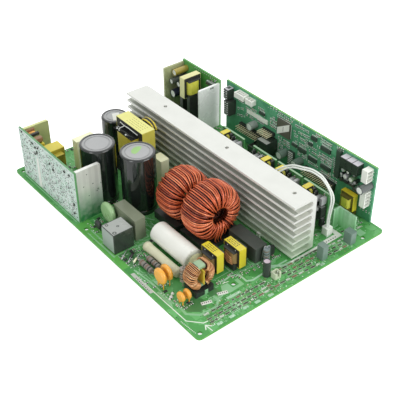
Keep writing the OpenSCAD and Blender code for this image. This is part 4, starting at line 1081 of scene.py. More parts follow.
# Fields of small parts elsewhere on the main board: low corner, high corner, how many
BOARD_FIELDS = [
    ((-79.0, -37.0), (-61.0, -21.0), 34), ((-77.0, 9.0), (-66.0, 23.0), 30),
    ((-74.0, -66.0), (-68.5, -60.0), 6), ((-76.5, -90.0), (-71.0, -80.0), 12),
    ((-77.5, -78.5), (-74.0, -68.0), 8), ((-52.0, -24.0), (-40.0, -20.0), 10),
    ((-30.0, -90.0), (-10.0, -85.0), 16), ((-45.0, -86.0), (-30.0, -82.5), 10),
    ((66.0, -100.0), (79.0, -84.0), 20), ((36.0, -90.0), (44.0, -70.0), 12),
    ((56.0, -60.0), (66.0, 50.0), 60), ((-76.0, 112.0), (-20.0, 114.0), 14),
    ((-58.0, 88.0), (-46.0, 108.0), 20), ((34.0, 98.0), (52.0, 112.0), 20),
    ((-30.0, 100.0), (6.0, 113.0), 24), ((-66.0, 60.0), (-58.0, 76.0), 10), ((66.0, 60.0), (80.0, 64.0), 8),
    ((-28.0, 62.0), (-21.0, 78.0), 8), ((-8.0, -90.0), (8.0, -86.5), 8),
    ((-71.0, -90.0), (-65.5, -85.5), 6), ((-56.0, 28.0), (-44.0, 32.0), 6),
    ((-80.0, -64.0), (-77.6, -42.0), 6), ((32.0, 62.0), (60.0, 98.0), 34),
    ((-60.0, 62.0), (-44.0, 86.0), 22),
]
# Leads of two diodes near the left edge and a bare wire link beside them
LINK_WIRES = [
    [(-77.8, -31.6, 0.0), (-77.6, -31.2, 1.6), (-72.0, -27.0, 1.8), (-66.4, -24.4, 1.6), (-66.2, -24.2, 0.0)],
    [(-75.6, -34.2, 0.0), (-75.4, -34.0, 1.2), (-68.0, -29.6, 1.3), (-62.6, -27.2, 1.2), (-62.4, -27.0, 0.0)],
    [(-79.4, -25.6, 0.0), (-79.2, -25.4, 1.2), (-72.6, -20.9, 1.4), (-69.8, -19.6, 1.2), (-69.6, -19.4, 0.0)],
]
# Lead of the upright resistor beside the slim relay
RESISTOR_LEAD = [
    (-2.4, -87.2, 14.6), (-2.8, -86.9, 15.5), (-3.8, -86.4, 15.4), (-5.0, -86.2, 12.0), (-6.6, -86.4, 3.0),
]
LINK_RADIUS = 0.3


def board_small_parts():
    piece = Piece("board_small_parts", smd_body, tin, mint_copper, silk_white, smd_brown, steel,
                  black_plastic, cream_plastic, glue_white)
    body, metal, mint, silk, brown, wire, black, cream, glue = range(9)
    pick = random.Random(23)
    for low, high, count in BOARD_FIELDS:
        for x, y in scatter(pick, low, high, count, 2.0):
            at = spot(ON_BOARD, x, y, pick.choice((0, 90)))
            kind = pick.random()
            if kind < 0.5:
                passive(piece, at, 1.8, 1.0, 0.55, pick.choice((body, body, brown)), metal)
            elif kind < 0.75:
                piece.bead(at, 0.5, 0.2, metal)
            elif kind < 0.88:
                piece.patch(0.0, 0.0, 1.6, 0.35, 0.04, silk, at)
            else:
                piece.stud(0.0, 0.0, 2.4, 1.6, 0.0, 0.9, black, 0.1, at)
                for side in (-1, 1):
                    piece.stud(side * 1.45, 0.0, 0.5, 0.6, 0.0, 0.2, metal, 0.03, at)
    for route in LINK_WIRES:
        piece.tube(route, LINK_RADIUS, wire, 8, ON_BOARD)
    piece.tube([(-74.0, -28.5, 1.75), (-70.0, -25.9, 1.8)], 1.0, black, 12, ON_BOARD)
    piece.tube([(-74.6, -33.5, 1.25), (-71.0, -31.2, 1.25)], 0.8, cream, 12, ON_BOARD)
    # White parts and a small tab before the common-mode choke
    for x, y, r in ((-74.6, -75.6, 1.3), (-72.0, -73.4, 1.1), (-76.4, -76.4, 0.9)):
        piece.bead(spot(ON_BOARD, x, y), r, r * 1.3, glue, 14)
    piece.block((-55.8, -87.2, 0.0), (-53.2, -86.6, 3.4), mint, 0.15, ON_BOARD)
    piece.tube(RESISTOR_LEAD, LINK_RADIUS, wire, 8)
    piece.build()


# Solder side of the auxiliary board: low parts as place from the front edge, height, width and height
AUX_LOW_PARTS = [
    (202.4, 38.4, 2.6, 0.9), (198.6, 36.6, 1.8, 1.3), (196.6, 33.4, 1.2, 2.4), (199.6, 30.6, 2.2, 0.9),
    (194.4, 38.0, 1.7, 0.9), (178.2, 33.0, 1.3, 1.3), (173.9, 29.9, 1.9, 1.6), (157.0, 37.6, 2.2, 1.2),
    (150.6, 38.0, 2.0, 1.2), (148.1, 13.8, 1.4, 2.2), (149.0, 5.6, 1.8, 1.0), (217.6, 41.0, 1.2, 1.2),
]
AUX_STRIP = [(199.6, 1.4), (195.8, 1.4), (196.4, 28.4), (199.0, 26.6)]


def aux_board_solder():
    piece = Piece("aux_board_solder", solder, smd_body, sticker_white, tin, dark_ink, deep_green)
    bright, dark, white, metal, ink, deep = range(6)
    pick = random.Random(5)
    low, high = low_high("aux_board")
    first, last = low.y - FRONT_EDGE, high.y - FRONT_EDGE
    tall = high.z - BOARD_TOP
    for u, v in scatter(pick, (first + 1.5, 1.5), (last - 1.5, tall - 1.5), 900, 0.85):
        if 194.0 < u < 202.0 and v < 29.0:
            continue
        size = pick.uniform(0.28, 0.55)
        kind = pick.random()
        if kind < 0.42:
            piece.bead(spot(ON_AUX, u, v), size, size * 0.7, bright)
        elif kind < 0.62:
            passive(piece, spot(ON_AUX, u, v, pick.choice((0, 90, 90))), 1.3, 0.7, 0.4, dark, metal)
        else:
            turn = pick.choice((0, 90, 45, -45, 20))
            long, paint = pick.uniform(0.8, 2.3), pick.choice((ink, ink, deep))
            piece.patch(0.0, 0.0, long, 0.46, 0.05, paint, spot(ON_AUX, u, v, turn))
    piece.prism(AUX_STRIP, 0.0, 0.3, white, ON_AUX)
    for u, v, w, h in AUX_LOW_PARTS:
        piece.stud(u, v, w, h, 0.0, 0.8, dark, 0.12, ON_AUX)
        for side in (-1, 1):
            piece.bead(spot(ON_AUX, u + side * (w / 2 + 0.35), v), 0.36, 0.3, bright)
    for k in range(14):
        piece.bead(spot(ON_AUX, first + 4.0 + k * (last - first - 8.0) / 13, 1.0), 0.6, 0.4, bright)
    piece.build()


def aux_board_parts():
    """Cans and boxes that hide between the auxiliary board's plates."""
    piece = Piece("aux_board_parts", yellow_tape, black_plastic, can_grey, smd_brown, amber_epoxy, deep_green)
    yellow, black, can, brown, amber, green = range(6)
    inner_x = low_high("aux_board")[1].x
    inner = face_frame((inner_x, FRONT_EDGE, BOARD_TOP), (0, 1, 0), (0, 0, 1), (1, 0, 0))
    for u, v, r, length, paint in (
        (216.0, 36.6, 2.2, 8.0, amber), (209.6, 34.0, 2.4, 9.0, black), (214.6, 30.0, 2.2, 9.0, brown),
        (165.0, 20.0, 3.0, 9.0, black), (158.0, 14.0, 2.4, 8.0, brown),
    ):
        piece.can(spot(inner, u, v), r, length, paint, can)
    for u, v, w, h, out, paint in (
        (205.6, 37.6, 4.0, 3.4, 8.0, brown), (211.4, 39.0, 2.2, 2.4, 9.0, black),
        (218.4, 38.8, 1.6, 2.6, 9.0, brown), (207.4, 30.6, 3.0, 3.0, 10.0, yellow),
        (176.0, 12.0, 8.0, 5.0, 6.0, black), (169.0, 32.0, 6.0, 4.0, 4.0, green),
        (184.0, 8.0, 5.0, 6.0, 5.0, black),
    ):
        piece.stud(u, v, w, h, 0.0, out, paint, 0.3, inner)
    piece.build()


# Chips of the control board: place from the front edge, height, length, width, legs a side
CONTROL_CHIPS = [
    (83.5, 25.8, 8.4, 3.0, 8), (72.2, 23.5, 9.0, 3.0, 8), (60.0, 38.4, 9.6, 3.4, 9),
    (58.6, 23.3, 10.0, 3.2, 9), (72.4, 41.8, 5.6, 3.4, 4), (91.8, 26.4, 5.6, 2.2, 4),
    (75.6, 35.5, 4.4, 2.2, 3), (129.2, 36.5, 6.3, 2.4, 4),
]
# Rows of small parts on it: first place and height, last ones, how many
CONTROL_ROWS = [
    ((92.2, 43.6), (79.0, 44.3), 9), ((88.6, 39.0), (78.1, 40.0), 8), ((89.8, 35.0), (81.9, 34.9), 6),
    ((81.1, 33.0), (70.0, 32.8), 7), ((66.0, 44.6), (54.0, 44.4), 10), ((70.9, 46.0), (66.0, 46.0), 4),
    ((66.0, 32.4), (53.9, 32.6), 10), ((65.8, 30.2), (53.9, 30.4), 10), ((64.0, 27.8), (53.6, 27.8), 9),
    ((64.0, 18.4), (53.6, 18.2), 9), ((64.0, 16.4), (47.0, 16.4), 13), ((55.4, 20.4), (47.0, 20.4), 6),
    ((87.6, 20.4), (78.6, 20.6), 7), ((87.0, 30.0), (79.0, 30.2), 6), ((76.3, 29.4), (66.8, 29.0), 7),
    ((76.0, 19.4), (67.0, 19.2), 7), ((110.9, 46.0), (106.9, 45.6), 3), ((104.5, 45.3), (100.5, 44.9), 3),
    ((96.4, 44.6), (93.4, 44.4), 2), ((52.2, 37.1), (50.3, 24.0), 9), ((142.4, 35.2), (136.4, 34.7), 5),
    ((119.6, 38.6), (114.0, 38.2), 5), ((119.6, 36.0), (113.4, 35.8), 5), ((119.6, 33.4), (113.4, 33.2), 5),
    ((119.6, 30.8), (113.4, 30.6), 5), ((100.0, 24.0), (96.8, 24.0), 3), ((109.0, 21.6), (97.6, 21.0), 8),
    ((133.7, 39.6), (127.9, 39.6), 4), ((152.0, 36.0), (158.0, 36.0), 4), ((152.0, 30.0), (158.0, 28.0), 4),
    ((150.0, 24.0), (158.0, 22.0), 5), ((22.0, 8.0), (14.0, 8.0), 4), ((109.6, 24.4), (98.0, 24.4), 9),
    ((109.4, 18.4), (105.0, 18.4), 4), ((109.4, 15.6), (105.0, 15.6), 4), ((109.4, 12.8), (105.0, 12.8), 4),
    ((79.8, 37.0), (78.6, 31.0), 4), ((66.0, 42.4), (55.0, 42.2), 9), ((93.0, 38.0), (90.6, 30.0), 5),
    ((88.0, 23.0), (79.0, 23.0), 7), ((112.0, 42.6), (99.0, 43.0), 8), ((148.0, 33.0), (140.0, 32.4), 6),
    ((134.0, 28.0), (126.0, 27.6), 6), ((148.0, 27.0), (140.0, 26.6), 6), ((69.0, 36.8), (66.6, 36.8), 2),
    ((50.0, 46.0), (44.0, 46.2), 4), ((98.0, 47.0), (86.0, 47.2), 5), ((126.0, 46.2), (114.0, 46.4), 5),
]
LARGE_CHIP, LARGE_CHIP_LEGS = (103.9, 35.2), 12
LARGE_CHIP_LABEL = [(110.4, 34.0), (97.4, 42.0), (97.4, 36.2), (110.4, 28.0)]
LABEL_SEAM = [(104.1, 37.0), (103.7, 37.3), (103.7, 33.2), (104.1, 32.9)]
# Pin headers: middle, height, length, how far out their pins start and end, half the distance of their rows
PIN_HEADERS = [
    (141.0, 14.9, 25.0, 2.5, 7.4, 1.2), (63.0, 12.3, 30.0, 2.5, 7.0, 1.2), (120.5, 24.4, 12.4, 2.2, 8.6, 0.8),
]
# Black connectors: middle, lower and upper end, depth
BLACK_CONNECTORS = [(166.4, 35.2, 43.4, 6.7), (164.2, 21.6, 33.8, 7.5)]
PIN_PITCH = 2.0


def control_board_parts():
    piece = Piece("control_board_parts", chip_black, bright_tin, smd_body, smd_brown, silk_white,
                  sticker_white, brass_pin, white_plastic, relay_grey, light_print)
    black, metal, body, brown, silk, label, pin, white, grey, pale = range(10)
    pick = random.Random(31)
    for start, end, count in CONTROL_ROWS:
        start, end = Vector(start), Vector(end)
        upright = abs(end.x - start.x) > abs(end.y - start.y)
        for k in range(count):
            here = start.lerp(end, k / max(count - 1, 1))
            kind = pick.random()
            at = spot(ON_CONTROL, here.x, here.y, 90 if upright else 0)
            if kind < 0.72:
                passive(piece, at, 1.7, 0.85, 0.5, pick.choice((body, body, body, brown)), metal)
            elif kind < 0.9:
                for side in (-0.6, 0.6):
                    piece.patch(side, 0.0, 0.6, 0.8, 0.06, metal, at)
            if pick.random() < 0.3:
                piece.patch(-1.5, 0.0, 0.3, 1.1, 0.03, silk, at)
    for u, v, length, width, legs in CONTROL_CHIPS:
        chip_legs(piece, spot(ON_CONTROL, u, v), length, width, legs, metal)
    # Large chip: legs all round, a pale label laid across it at a slant
    u, v = LARGE_CHIP
    for k in range(LARGE_CHIP_LEGS):
        shift = (k + 0.5) / LARGE_CHIP_LEGS - 0.5
        for side in (-1, 1):
            piece.stud(u + shift * 12.6, v + side * 6.81, 0.5, 0.58, 0.0, 0.3, metal, 0.05, ON_CONTROL)
            piece.stud(u + side * 7.11, v + shift * 12.0, 0.58, 0.5, 0.0, 0.3, metal, 0.05, ON_CONTROL)
    piece.prism(LARGE_CHIP_LABEL, 1.8, 1.9, white, ON_CONTROL)
    piece.prism(LABEL_SEAM, 1.9, 1.93, body, ON_CONTROL)
    # Module with pale bars on the comb below the chip
    for k in range(7):
        piece.stud(94.0, 8.625 + 1.7 * k, 5.2, 0.65, 2.0, 2.3, label if k % 2 else metal, 0.05, ON_CONTROL)
    for middle, height, length, near, far, half in PIN_HEADERS:
        # Black strip below each header's pins: painted shade under the pins
        piece.stud(middle, height - 4.65, length, 3.9, 0.0, 0.8, black, 0.1, ON_CONTROL)
        count = int(length / PIN_PITCH)
        for k in range(count):
            u = middle + (k + 0.5) * length / count - length / 2
            for row in (-half, half):
                piece.stud(u, height + row, 0.56, 0.56, near, far, pin, 0.06, ON_CONTROL)
    for middle, low, high, depth in BLACK_CONNECTORS:
        count = int((high - low) / PIN_PITCH)
        for k in range(count):
            v = low + (k + 0.5) * (high - low) / count
            for side in (-1.3, 1.3):
                piece.stud(middle + side, v, 0.8, 0.7, depth, depth + 0.7, metal, 0.08, ON_CONTROL)
    # Paler rim of the upper connector, pale label on the black box beside the chip
    piece.block((163.7, 43.8, 0.2), (169.1, 44.1, 6.6), grey, 0.05, ON_CONTROL)
    piece.block((164.8, 44.1, 1.6), (168.0, 44.16, 4.8), black, 0.02, ON_CONTROL)
    piece.block((110.9, 21.42, 7.4), (121.6, 21.5, 11.6), pale, 0.03, ON_CONTROL)
    piece.build()


def relay_side_parts():
    """Small parts under the three relays of the control board."""
    piece = Piece("relay_side_parts", glue_white, can_grey, smd_body, tin, green_core, black_plastic, steel)
    white, can, body, metal, green, black, wire = range(7)
    for u, v, r, length, paint, end in (
        (38.4, 34.6, 1.7, 5.2, green, can), (33.8, 35.0, 1.5, 5.0, black, white),
        (35.6, 30.2, 1.9, 5.4, can, white), (30.2, 30.4, 1.9, 5.6, green, white),
        (28.4, 35.2, 1.3, 4.6, black, can), (26.6, 29.6, 1.5, 5.0, black, can),
        (40.0, 29.8, 1.3, 4.4, black, metal),
    ):
        piece.can(spot(ON_CONTROL, u, v), r, length, paint, end)
    for u, v, w, h, out, paint in (
        (36.4, 24.6, 5.0, 2.6, 3.6, black), (30.6, 25.0, 4.4, 2.2, 4.2, body),
        (25.0, 24.4, 3.4, 3.0, 3.0, black), (41.4, 24.0, 2.4, 4.0, 3.0, body),
        (27.2, 21.4, 6.0, 1.4, 2.4, body),
    ):
        piece.stud(u, v, w, h, 0.0, out, paint, 0.2, ON_CONTROL)
        piece.stud(u, v + h / 2 + 0.04, w - 0.8, 0.08, 0.6, out - 0.4, metal, 0.03, ON_CONTROL)
    arch = [(-1.8, 0.0, 0.0), (-1.6, 0.0, 2.4), (0.0, 0.3, 3.0), (1.6, 0.0, 2.4), (1.8, 0.0, 0.0)]
    for u, v in ((34.0, 27.2), (38.6, 27.0), (28.6, 27.0)):
        piece.tube(arch, 0.3, wire, 8, spot(ON_CONTROL, u, v))
    piece.build()


# White headers: place from the front edge, height, turn of the open side, length, width, depth, contacts
HEADERS = [
    (151.3, 43.4, 0, 10.9, 4.4, 6.1, 4), (141.0, 42.4, 0, 7.5, 4.4, 5.0, 2),
    (17.8, 40.4, 90, 10.2, 4.9, 6.5, 3), (17.2, 20.6, 90, 13.0, 4.6, 6.0, 4),
]
HEADER_WALLS = 1.6


def header_details():
    """Contacts and dividing walls inside the open headers, tails of those at the front edge."""
    piece = Piece("header_details", tin, white_plastic)
    metal, white = range(2)
    for u, v, turn, length, width, depth, contacts in HEADERS:
        header = spot(ON_CONTROL, u, v, turn)
        pitch = (length - HEADER_WALLS) / contacts
        for k in range(contacts):
            along = (k + 0.5) * pitch - (length - HEADER_WALLS) / 2
            piece.stud(along, 0.55, 0.7, width - 1.7, depth / 2 - 0.35, depth / 2 + 0.35, metal, 0.08, header)
            if k:
                piece.stud(along - pitch / 2, 0.65, 0.5, width - 1.5, 0.8, depth - 0.8, white, 0.05, header)
            if turn:
                piece.stud(along, width / 2 + 0.45, 0.6, 0.9, 0.0, 0.5, metal, 0.06, header)
    # Contacts of the two-pin header at the front edge of the main board
    for x in (-10.0, -7.6):
        piece.stud(x, -103.65, 0.7, 0.7, 1.4, 4.2, metal, 0.08, ON_BOARD)
    piece.build()


def relay_tops():
    """Pale tops of the relays, with plain rings on the large one, and a pale sheet on its side that is a
    painted reflection.
    """
    piece = Piece("relay_tops", relay_grey, dark_ink, light_print, painted_side_sheen)
    grey, ink, pale, sheen = range(4)
    for u in (27.0, 32.6, 38.2):
        piece.block((u - 2.5, 45.4, 0.3), (u + 2.5, 45.5, 6.3), grey, 0.03, ON_CONTROL)
    low, high = low_high("light_relay")
    top = high.z + 0.08
    piece.block((low.x + 0.5, low.y + 0.5, high.z), (high.x - 0.5, high.y - 0.5, top), pale, 0.03)
    for x, y, r in ((3.0, high.y - low.y - 2.2, 1.2), (8.6, 7.4, 1.0), (2.6, 2.4, 1.5)):
        ring = [(r, 0.0), (r, 0.04), (r * 0.55, 0.04), (r * 0.55, 0.0)]
        piece.turned(ring, ink, 16, Matrix.Translation((low.x + x, low.y + y, top)), False)
    # Pale sheet on the relay's left side: painted reflection
    piece.block((low.x - 0.08, low.y + 0.5, low.z + 0.8), (low.x, high.y - 0.5, high.z - 0.5), sheen, 0.03)
    piece.build()


# Lines on the left side of the power transformer: along, height and distance from its core at each point
WHITE_STRAND = [(67.5, 43.4, 0.0), (62.0, 43.0, 0.3), (56.0, 43.6, 0.4), (49.0, 43.2, 0.3), (44.6, 42.6, 0.0)]
SIDE_STRAND = [(61.0, 43.2, 0.2), (61.6, 42.6, 1.8), (62.6, 42.0, 3.4), (62.2, 41.5, 5.0), (60.4, 41.3, 5.9)]
BLACK_SLEEVE = [(66.0, 41.3, 3.4), (61.0, 41.3, 4.4), (55.0, 41.4, 3.6), (49.0, 41.3, 4.2), (46.0, 41.3, 3.0)]
BOBBIN_TOP = 40.7
# Course of a lead from foot to foot: share of its length, share of its height
LEAD_ARCH = [(0.0, 0.0), (0.06, 0.55), (0.2, 0.86), (0.5, 1.0), (0.8, 0.86), (0.94, 0.55), (1.0, 0.0)]
PAPER_STRIP, PAPER_FOOT = [(-8.5, 88.4), (-3.4, 86.4), (-9.2, 77.2), (-13.2, 79.4)], 38.4


def power_tf_strands():
    """Wires, beads and bars on the power transformer, and a paper strip on the capacitor behind it."""
    piece = Piece("power_tf_strands", white_wire, black_plastic, faint_ink, sticker_white, coil_yellow)
    pale, black, ink, paper, amber = range(5)
    side = low_high("power_tf_core")[0].x
    for points, radius, paint in (
        (WHITE_STRAND, 0.35, pale), (SIDE_STRAND, 0.3, pale), (BLACK_SLEEVE, 0.5, black),
    ):
        piece.tube([(side - 0.1 - radius - lift, y, z) for y, z, lift in points], radius, paint, 8)
    for y, lift, size in ((66.2, 3.6, 1.0), (64.9, 5.0, 0.8), (53.2, 5.2, 0.9), (51.4, 4.4, 0.7)):
        piece.bead(Matrix.Translation((side - lift, y, BOBBIN_TOP)), size, size * 0.8, pale, 12)
    # Bundle of leads that rises on its far side
    for x, first, last, top, paint in (
        (0.2, 60.4, 44.8, 45.6, amber), (1.4, 59.6, 45.6, 46.6, black), (2.6, 60.8, 44.4, 46.2, amber),
    ):
        long, tall = last - first, top - BOBBIN_TOP
        bends = [(x, first + long * t, BOBBIN_TOP + tall * rise) for t, rise in LEAD_ARCH]
        piece.tube(smooth_route(bends, 3), 0.65, paint, 8)
    low, high = low_high("power_tf_tape")
    pick = random.Random(3)
    for row in range(4):
        x = low.x + 2.4 + 2.1 * row
        here = low.y + 5.0
        while here < high.y - 12.0:
            long = pick.uniform(0.8, 2.4)
            piece.block((x - 0.25, here, high.z), (x + 0.25, here + long, high.z + 0.03), ink, 0.005)
            here += long + pick.uniform(0.6, 1.2)
    piece.prism(PAPER_STRIP, PAPER_FOOT, PAPER_FOOT + 0.15, paper)
    piece.build()


# Dab of paint on the front capacitor's top
PAINT_DAB = [
    (-38.0, 17.4), (-36.6, 20.4), (-33.0, 22.4), (-29.4, 22.0), (-27.6, 19.8), (-30.4, 17.6), (-33.6, 15.8),
    (-36.6, 15.0),
]
# Bars on the sleeves of the large capacitors: middle of the can, heights
SLEEVE_BARS = [((-33.6, 16.7), (44.0, 40.6, 36.4, 32.6)), ((-49.9, 43.8), (43.0, 38.4, 33.0))]
SLEEVE_RADIUS, BAR_STEPS = 12.35, 6


def curved_bar(piece, middle, foot, start, reach, paint):
    """Thin bar that follows the round of a sleeve."""
    count = BAR_STEPS + 1
    turns = [math.radians(start + reach * i / BAR_STEPS) for i in range(count)]
    x, y = middle
    inner, outer = SLEEVE_RADIUS, SLEEVE_RADIUS + 0.06
    rims = ((inner, foot), (inner, foot + 1.0), (outer, foot + 1.0), (outer, foot))
    points = [(x + r * math.cos(a), y + r * math.sin(a), z) for r, z in rims for a in turns]
    faces = []
    for k in range(4):
        here, there = k * count, (k + 1) % 4 * count
        faces += [[here + i, here + i + 1, there + i + 1, there + i] for i in range(BAR_STEPS)]
    faces += [[end + k * count for k in range(4)] for end in (0, BAR_STEPS)]
    piece.add(points, faces, paint)


def capacitor_dabs():
    piece = Piece("capacitor_dabs", lime_paint, sleeve_print)
    lime, pale = range(2)
    top = low_high("capacitor_tops")[1].z
    piece.prism(PAINT_DAB, top, top + 0.05, lime)
    for middle, heights in SLEEVE_BARS:
        for k, foot in enumerate(heights):
            curved_bar(piece, middle, foot, 218 + 3 * (k % 2), 20 + 6 * (k % 3), pale)
    piece.build()


# Left side, near and far end of the two gate transformers
GATE_TRANSFORMERS = [(-39.1, -78.8, -62.6), (-24.2, -84.2, -68.0)]
GATE_TOP, GATE_DOT_HEIGHT = 20.5, 18.4


def gate_tf_details():
    """Gate transformers: bars on the tape, white dots on the core, strands of wire before them."""
    piece = Piece("gate_tf_details", glue_white, fine_copper, dark_ink)
    white, fine, dark = range(3)
    pick = random.Random(9)
    for side, near, far in GATE_TRANSFORMERS:
        for row in range(3):
            x = side + 1.4 + 1.5 * row
            here = near + 5.2
            while here < far - 2.2:
                long = pick.uniform(0.6, 1.6)
                piece.block((x - 0.3, here, GATE_TOP), (x + 0.3, here + long, GATE_TOP + 0.03), dark, 0.005)
                here += long + pick.uniform(0.4, 0.9)
        for y in (near + 4.4, far - 3.6):
            at = face_frame((side, y, GATE_DOT_HEIGHT), (0, 1, 0), (0, 0, 1), (-1, 0, 0))
            piece.bead(at, 0.5, 0.15, white, 12)
        for k in range(4):
            z = 8.6 + 1.5 * k
            first, last = near + 3.6 + 0.4 * k, far - 3.4 - 0.5 * k
            sag = (side - 3.6, (first + last) / 2, z - 0.4 + 0.5 * k)
            piece.tube([(side - 3.2, last, z + 2.0), sag, (side - 3.2, first, z)], 0.35, fine, 8)
    piece.build()


def around(middle, turn, r, y):
    """Point of a winding about a core that lies on its side, the turn in degrees."""
    a = math.radians(turn)
    return (middle.x + r * math.cos(a), middle.y + y, middle.z + r * math.sin(a))


def outer_round(foot, face, corner, turns):
    """Rounded corner of one turn, from the face of the core to its crown."""
    return [(foot + corner * math.sin(a), face - corner + corner * math.cos(a)) for a in turns]


# Turns of the two chokes, laid by hand: they lean, cross and leave dark gaps
def choke_turns(name, node, turns, seed, ends):
    piece = Piece(name, plain_copper, copper_painted_highlight, copper_painted_shade)
    pick = random.Random(seed)
    low, high = low_high(node)
    middle = (low + high) / 2
    wire, bend, rim = 0.5, 3.2, 8.6
    outer = (high.x - low.x) / 2 - wire
    half = (high.y - low.y) / 2 + 0.9 - wire
    for i in range(turns):
        layer = i % 3
        inner = 6.7 + 1.3 * layer
        side = half - 0.75 * layer
        crown = outer + pick.uniform(-0.35, 0.1)
        corner = rim - 0.3 * layer
        foot = crown - corner
        start = inner + bend
        line = [(inner, -0.3 * side), (inner, 0.4 * side), (inner, side - bend)]
        line += [(start - bend * math.cos(a), side - bend + bend * math.sin(a)) for a in (0.4, 0.8, 1.2)]
        line += [(start, side), ((start + foot) / 2, side + pick.uniform(-0.3, 0.2)), (foot, side)]
        line += outer_round(foot, side, corner, (0.25, 0.5, 0.75, 1.0, 1.25, 1.5))
        line += [(crown, 0.0)]
        line += [(r, -y) for r, y in reversed(line[2:-1])]
        line += [(inner, -0.4 * side)]
        at_hole, at_crown = pick.gauss(0, 2.4), pick.gauss(0, 0.28)
        lean = pick.gauss(0, 0.55) * (2.4 if pick.random() < 0.08 else 1.0)
        route = []
        for k, (r, y) in enumerate(line):
            share = (r - inner) / (crown - inner)
            turn = 360 * i / turns + at_hole * (1 - share) + at_crown * share + lean * (y / half) * share
            turn += 360 / turns * (k / len(line)) * (1 - share)
            route.append(around(middle, turn, r, y))
        # Deeper layers take the painted-shade copy more often, the outer layer the painted-highlight copy:
        # painted shade and painted highlight
        piece.tube(route, wire, pick.choice(((0, 0, 1), (0, 1, 2), (2, 2, 0))[layer]), 8)
    for route in ends:
        piece.tube(route, wire, pick.choice((0, 1)), 8)
    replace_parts(piece.build(), node)


# Loose turn of the front choke: place across the board, distance from the face of the choke, height
LOOSE_TURN = [
    (-17.6, 6.0, 23.0), (-18.6, 1.4, 21.4), (-19.6, 0.0, 18.6), (-20.8, 0.1, 15.0), (-21.6, 0.6, 11.6),
    (-21.0, 1.6, 8.6), (-19.6, 2.6, 6.6), (-18.6, 3.0, 4.4),
]


def both_chokes():
    """The front choke also has three loose turns that hang from its hole to its base."""
    face = low_high("front_choke_winding")[0].y - 1.7
    ends = [[(x + shift, face + y, z) for x, y, z in LOOSE_TURN] for shift in (0.0, 2.2, 4.6)]
    choke_turns("front_choke_turns", "front_choke_winding", 80, 21, ends)
    choke_turns("rear_choke_turns", "rear_choke_winding", 74, 22, [])


def cm_choke_turns():
    """The two windings of the common-mode choke, in one open layer of fine wire."""
    piece = Piece("cm_choke_turns", fine_copper, pale_copper, brown_copper)
    pick = random.Random(27)
    low, high = low_high("cm_windings")
    middle = (low + high) / 2
    wire, hole, corner, turns = 0.28, 5.0, 2.6, 23
    crown, face = (high.x - low.x) / 2 - wire, (high.y - low.y) / 2 - wire
    foot = crown - corner
    line = [(hole, -0.3 * face), (hole, 0.5 * face), (hole + 0.4, face - 0.5), (hole + 1.2, face)]
    line += [(foot, face)]
    line += outer_round(foot, face, corner, (0.4, 0.8, 1.2, 1.5))
    line += [(crown, 0.0)]
    line += [(r, -y) for r, y in reversed(line[1:-1])]
    for side in (0, 180):
        for i in range(turns):
            turn = side + (i - (turns - 1) / 2) * 6.0 + pick.gauss(0, 0.3)
            lean = pick.gauss(0, 0.9)
            route = [around(middle, turn + lean * y / face, r, y) for r, y in line]
            piece.tube(route, wire, pick.choice((0, 0, 1, 2)), 6)
    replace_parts(piece.build(), "cm_windings")


# Two sensor wires: their bends from the wire connector up, then from the heat sensor
FIRST_RISE = [
    (-0.9, 0, 0), (0, 0.6, 7.5), (0.8, 0.5, 15.1), (1.5, 0.5, 21.3), (1.7, 1.8, 26.4), (1.5, 5, 30.8),
    (0.5, 10.5, 35.6), (-0.7, 19, 37),
]
FIRST_FALL = [
    (14.5, -23.4, 19.4), (12.9, -16.8, 18), (11.1, -12.2, 15.6), (8.5, -9, 12.6), (5, -4.5, 8), (0, -1, 3),
]
SECOND_RISE = [
    (0.9, 0, 0), (1.8, 0.5, 7.2), (2.7, 0.1, 15.4), (3.4, 0, 21.5), (3.5, 1.6, 26), (3.1, 4.7, 30),
    (2.1, 10.4, 35.9), (0.8, 19.2, 37.8),
]
SECOND_FALL = [
    (16, -22.8, 20.2), (14.4, -16, 18.8), (12.5, -11, 16.4), (9.5, -7.2, 13.4), (5.4, -2.4, 9.2),
    (0, 1.5, 5.5),
]
SENSOR_WIRE_RADIUS = 0.65


def smooth_route(points, steps=6):
    """Catmull-Rom line through the given points."""
    points = [Vector(p) for p in points]
    line = []
    for i in range(len(points) - 1):
        a, b, c, d = (points[min(max(i + k, 0), len(points) - 1)] for k in (-1, 0, 1, 2))
        for k in range(steps):
            t = k / steps
            square, cube = 2 * a - 5 * b + 4 * c - d, 3 * b - a - 3 * c + d
            line.append(0.5 * (2 * b + (c - a) * t + square * t * t + cube * t ** 3))
    return line + [points[-1]]


def sensor_wire_pair():
    low, high = low_high("wire_connector")
    start = Vector(((low.x + high.x) / 2, (low.y + high.y) / 2, high.z))
    low, high = low_high("heat_sensor")
    end = Vector((high.x, (low.y + high.y) / 2, low.z))
    for name, rise, fall in (
        ("sensor_wire_a", FIRST_RISE, FIRST_FALL), ("sensor_wire_b", SECOND_RISE, SECOND_FALL),
    ):
        route = smooth_route([start + Vector(p) for p in rise] + [end + Vector(p) for p in fall])
        piece = Piece(name, white_wire)
        piece.tube(route, SENSOR_WIRE_RADIUS, 0, 12)
        made = piece.build()
        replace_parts(made, "sensor_wires")


def bent_lead(piece, x, y, z, way, radius, paint):
    """Lead that leaves the end of a lying part and bends down to the board."""
    route = [(x, y, z), (x, y + way * 1.6, z), (x, y + way * 2.2, z - 0.8), (x, y + way * 2.3, BOARD_TOP)]
    piece.tube(route, radius, paint, 8)


def colour_band(piece, place, radius, width, paint):
    """Ring of colour round a resistor."""
    inner, outer = radius - 0.3, radius + 0.04
    piece.turned([(inner, 0.0), (outer, 0.0), (outer, width), (inner, width)], paint, 24, place)


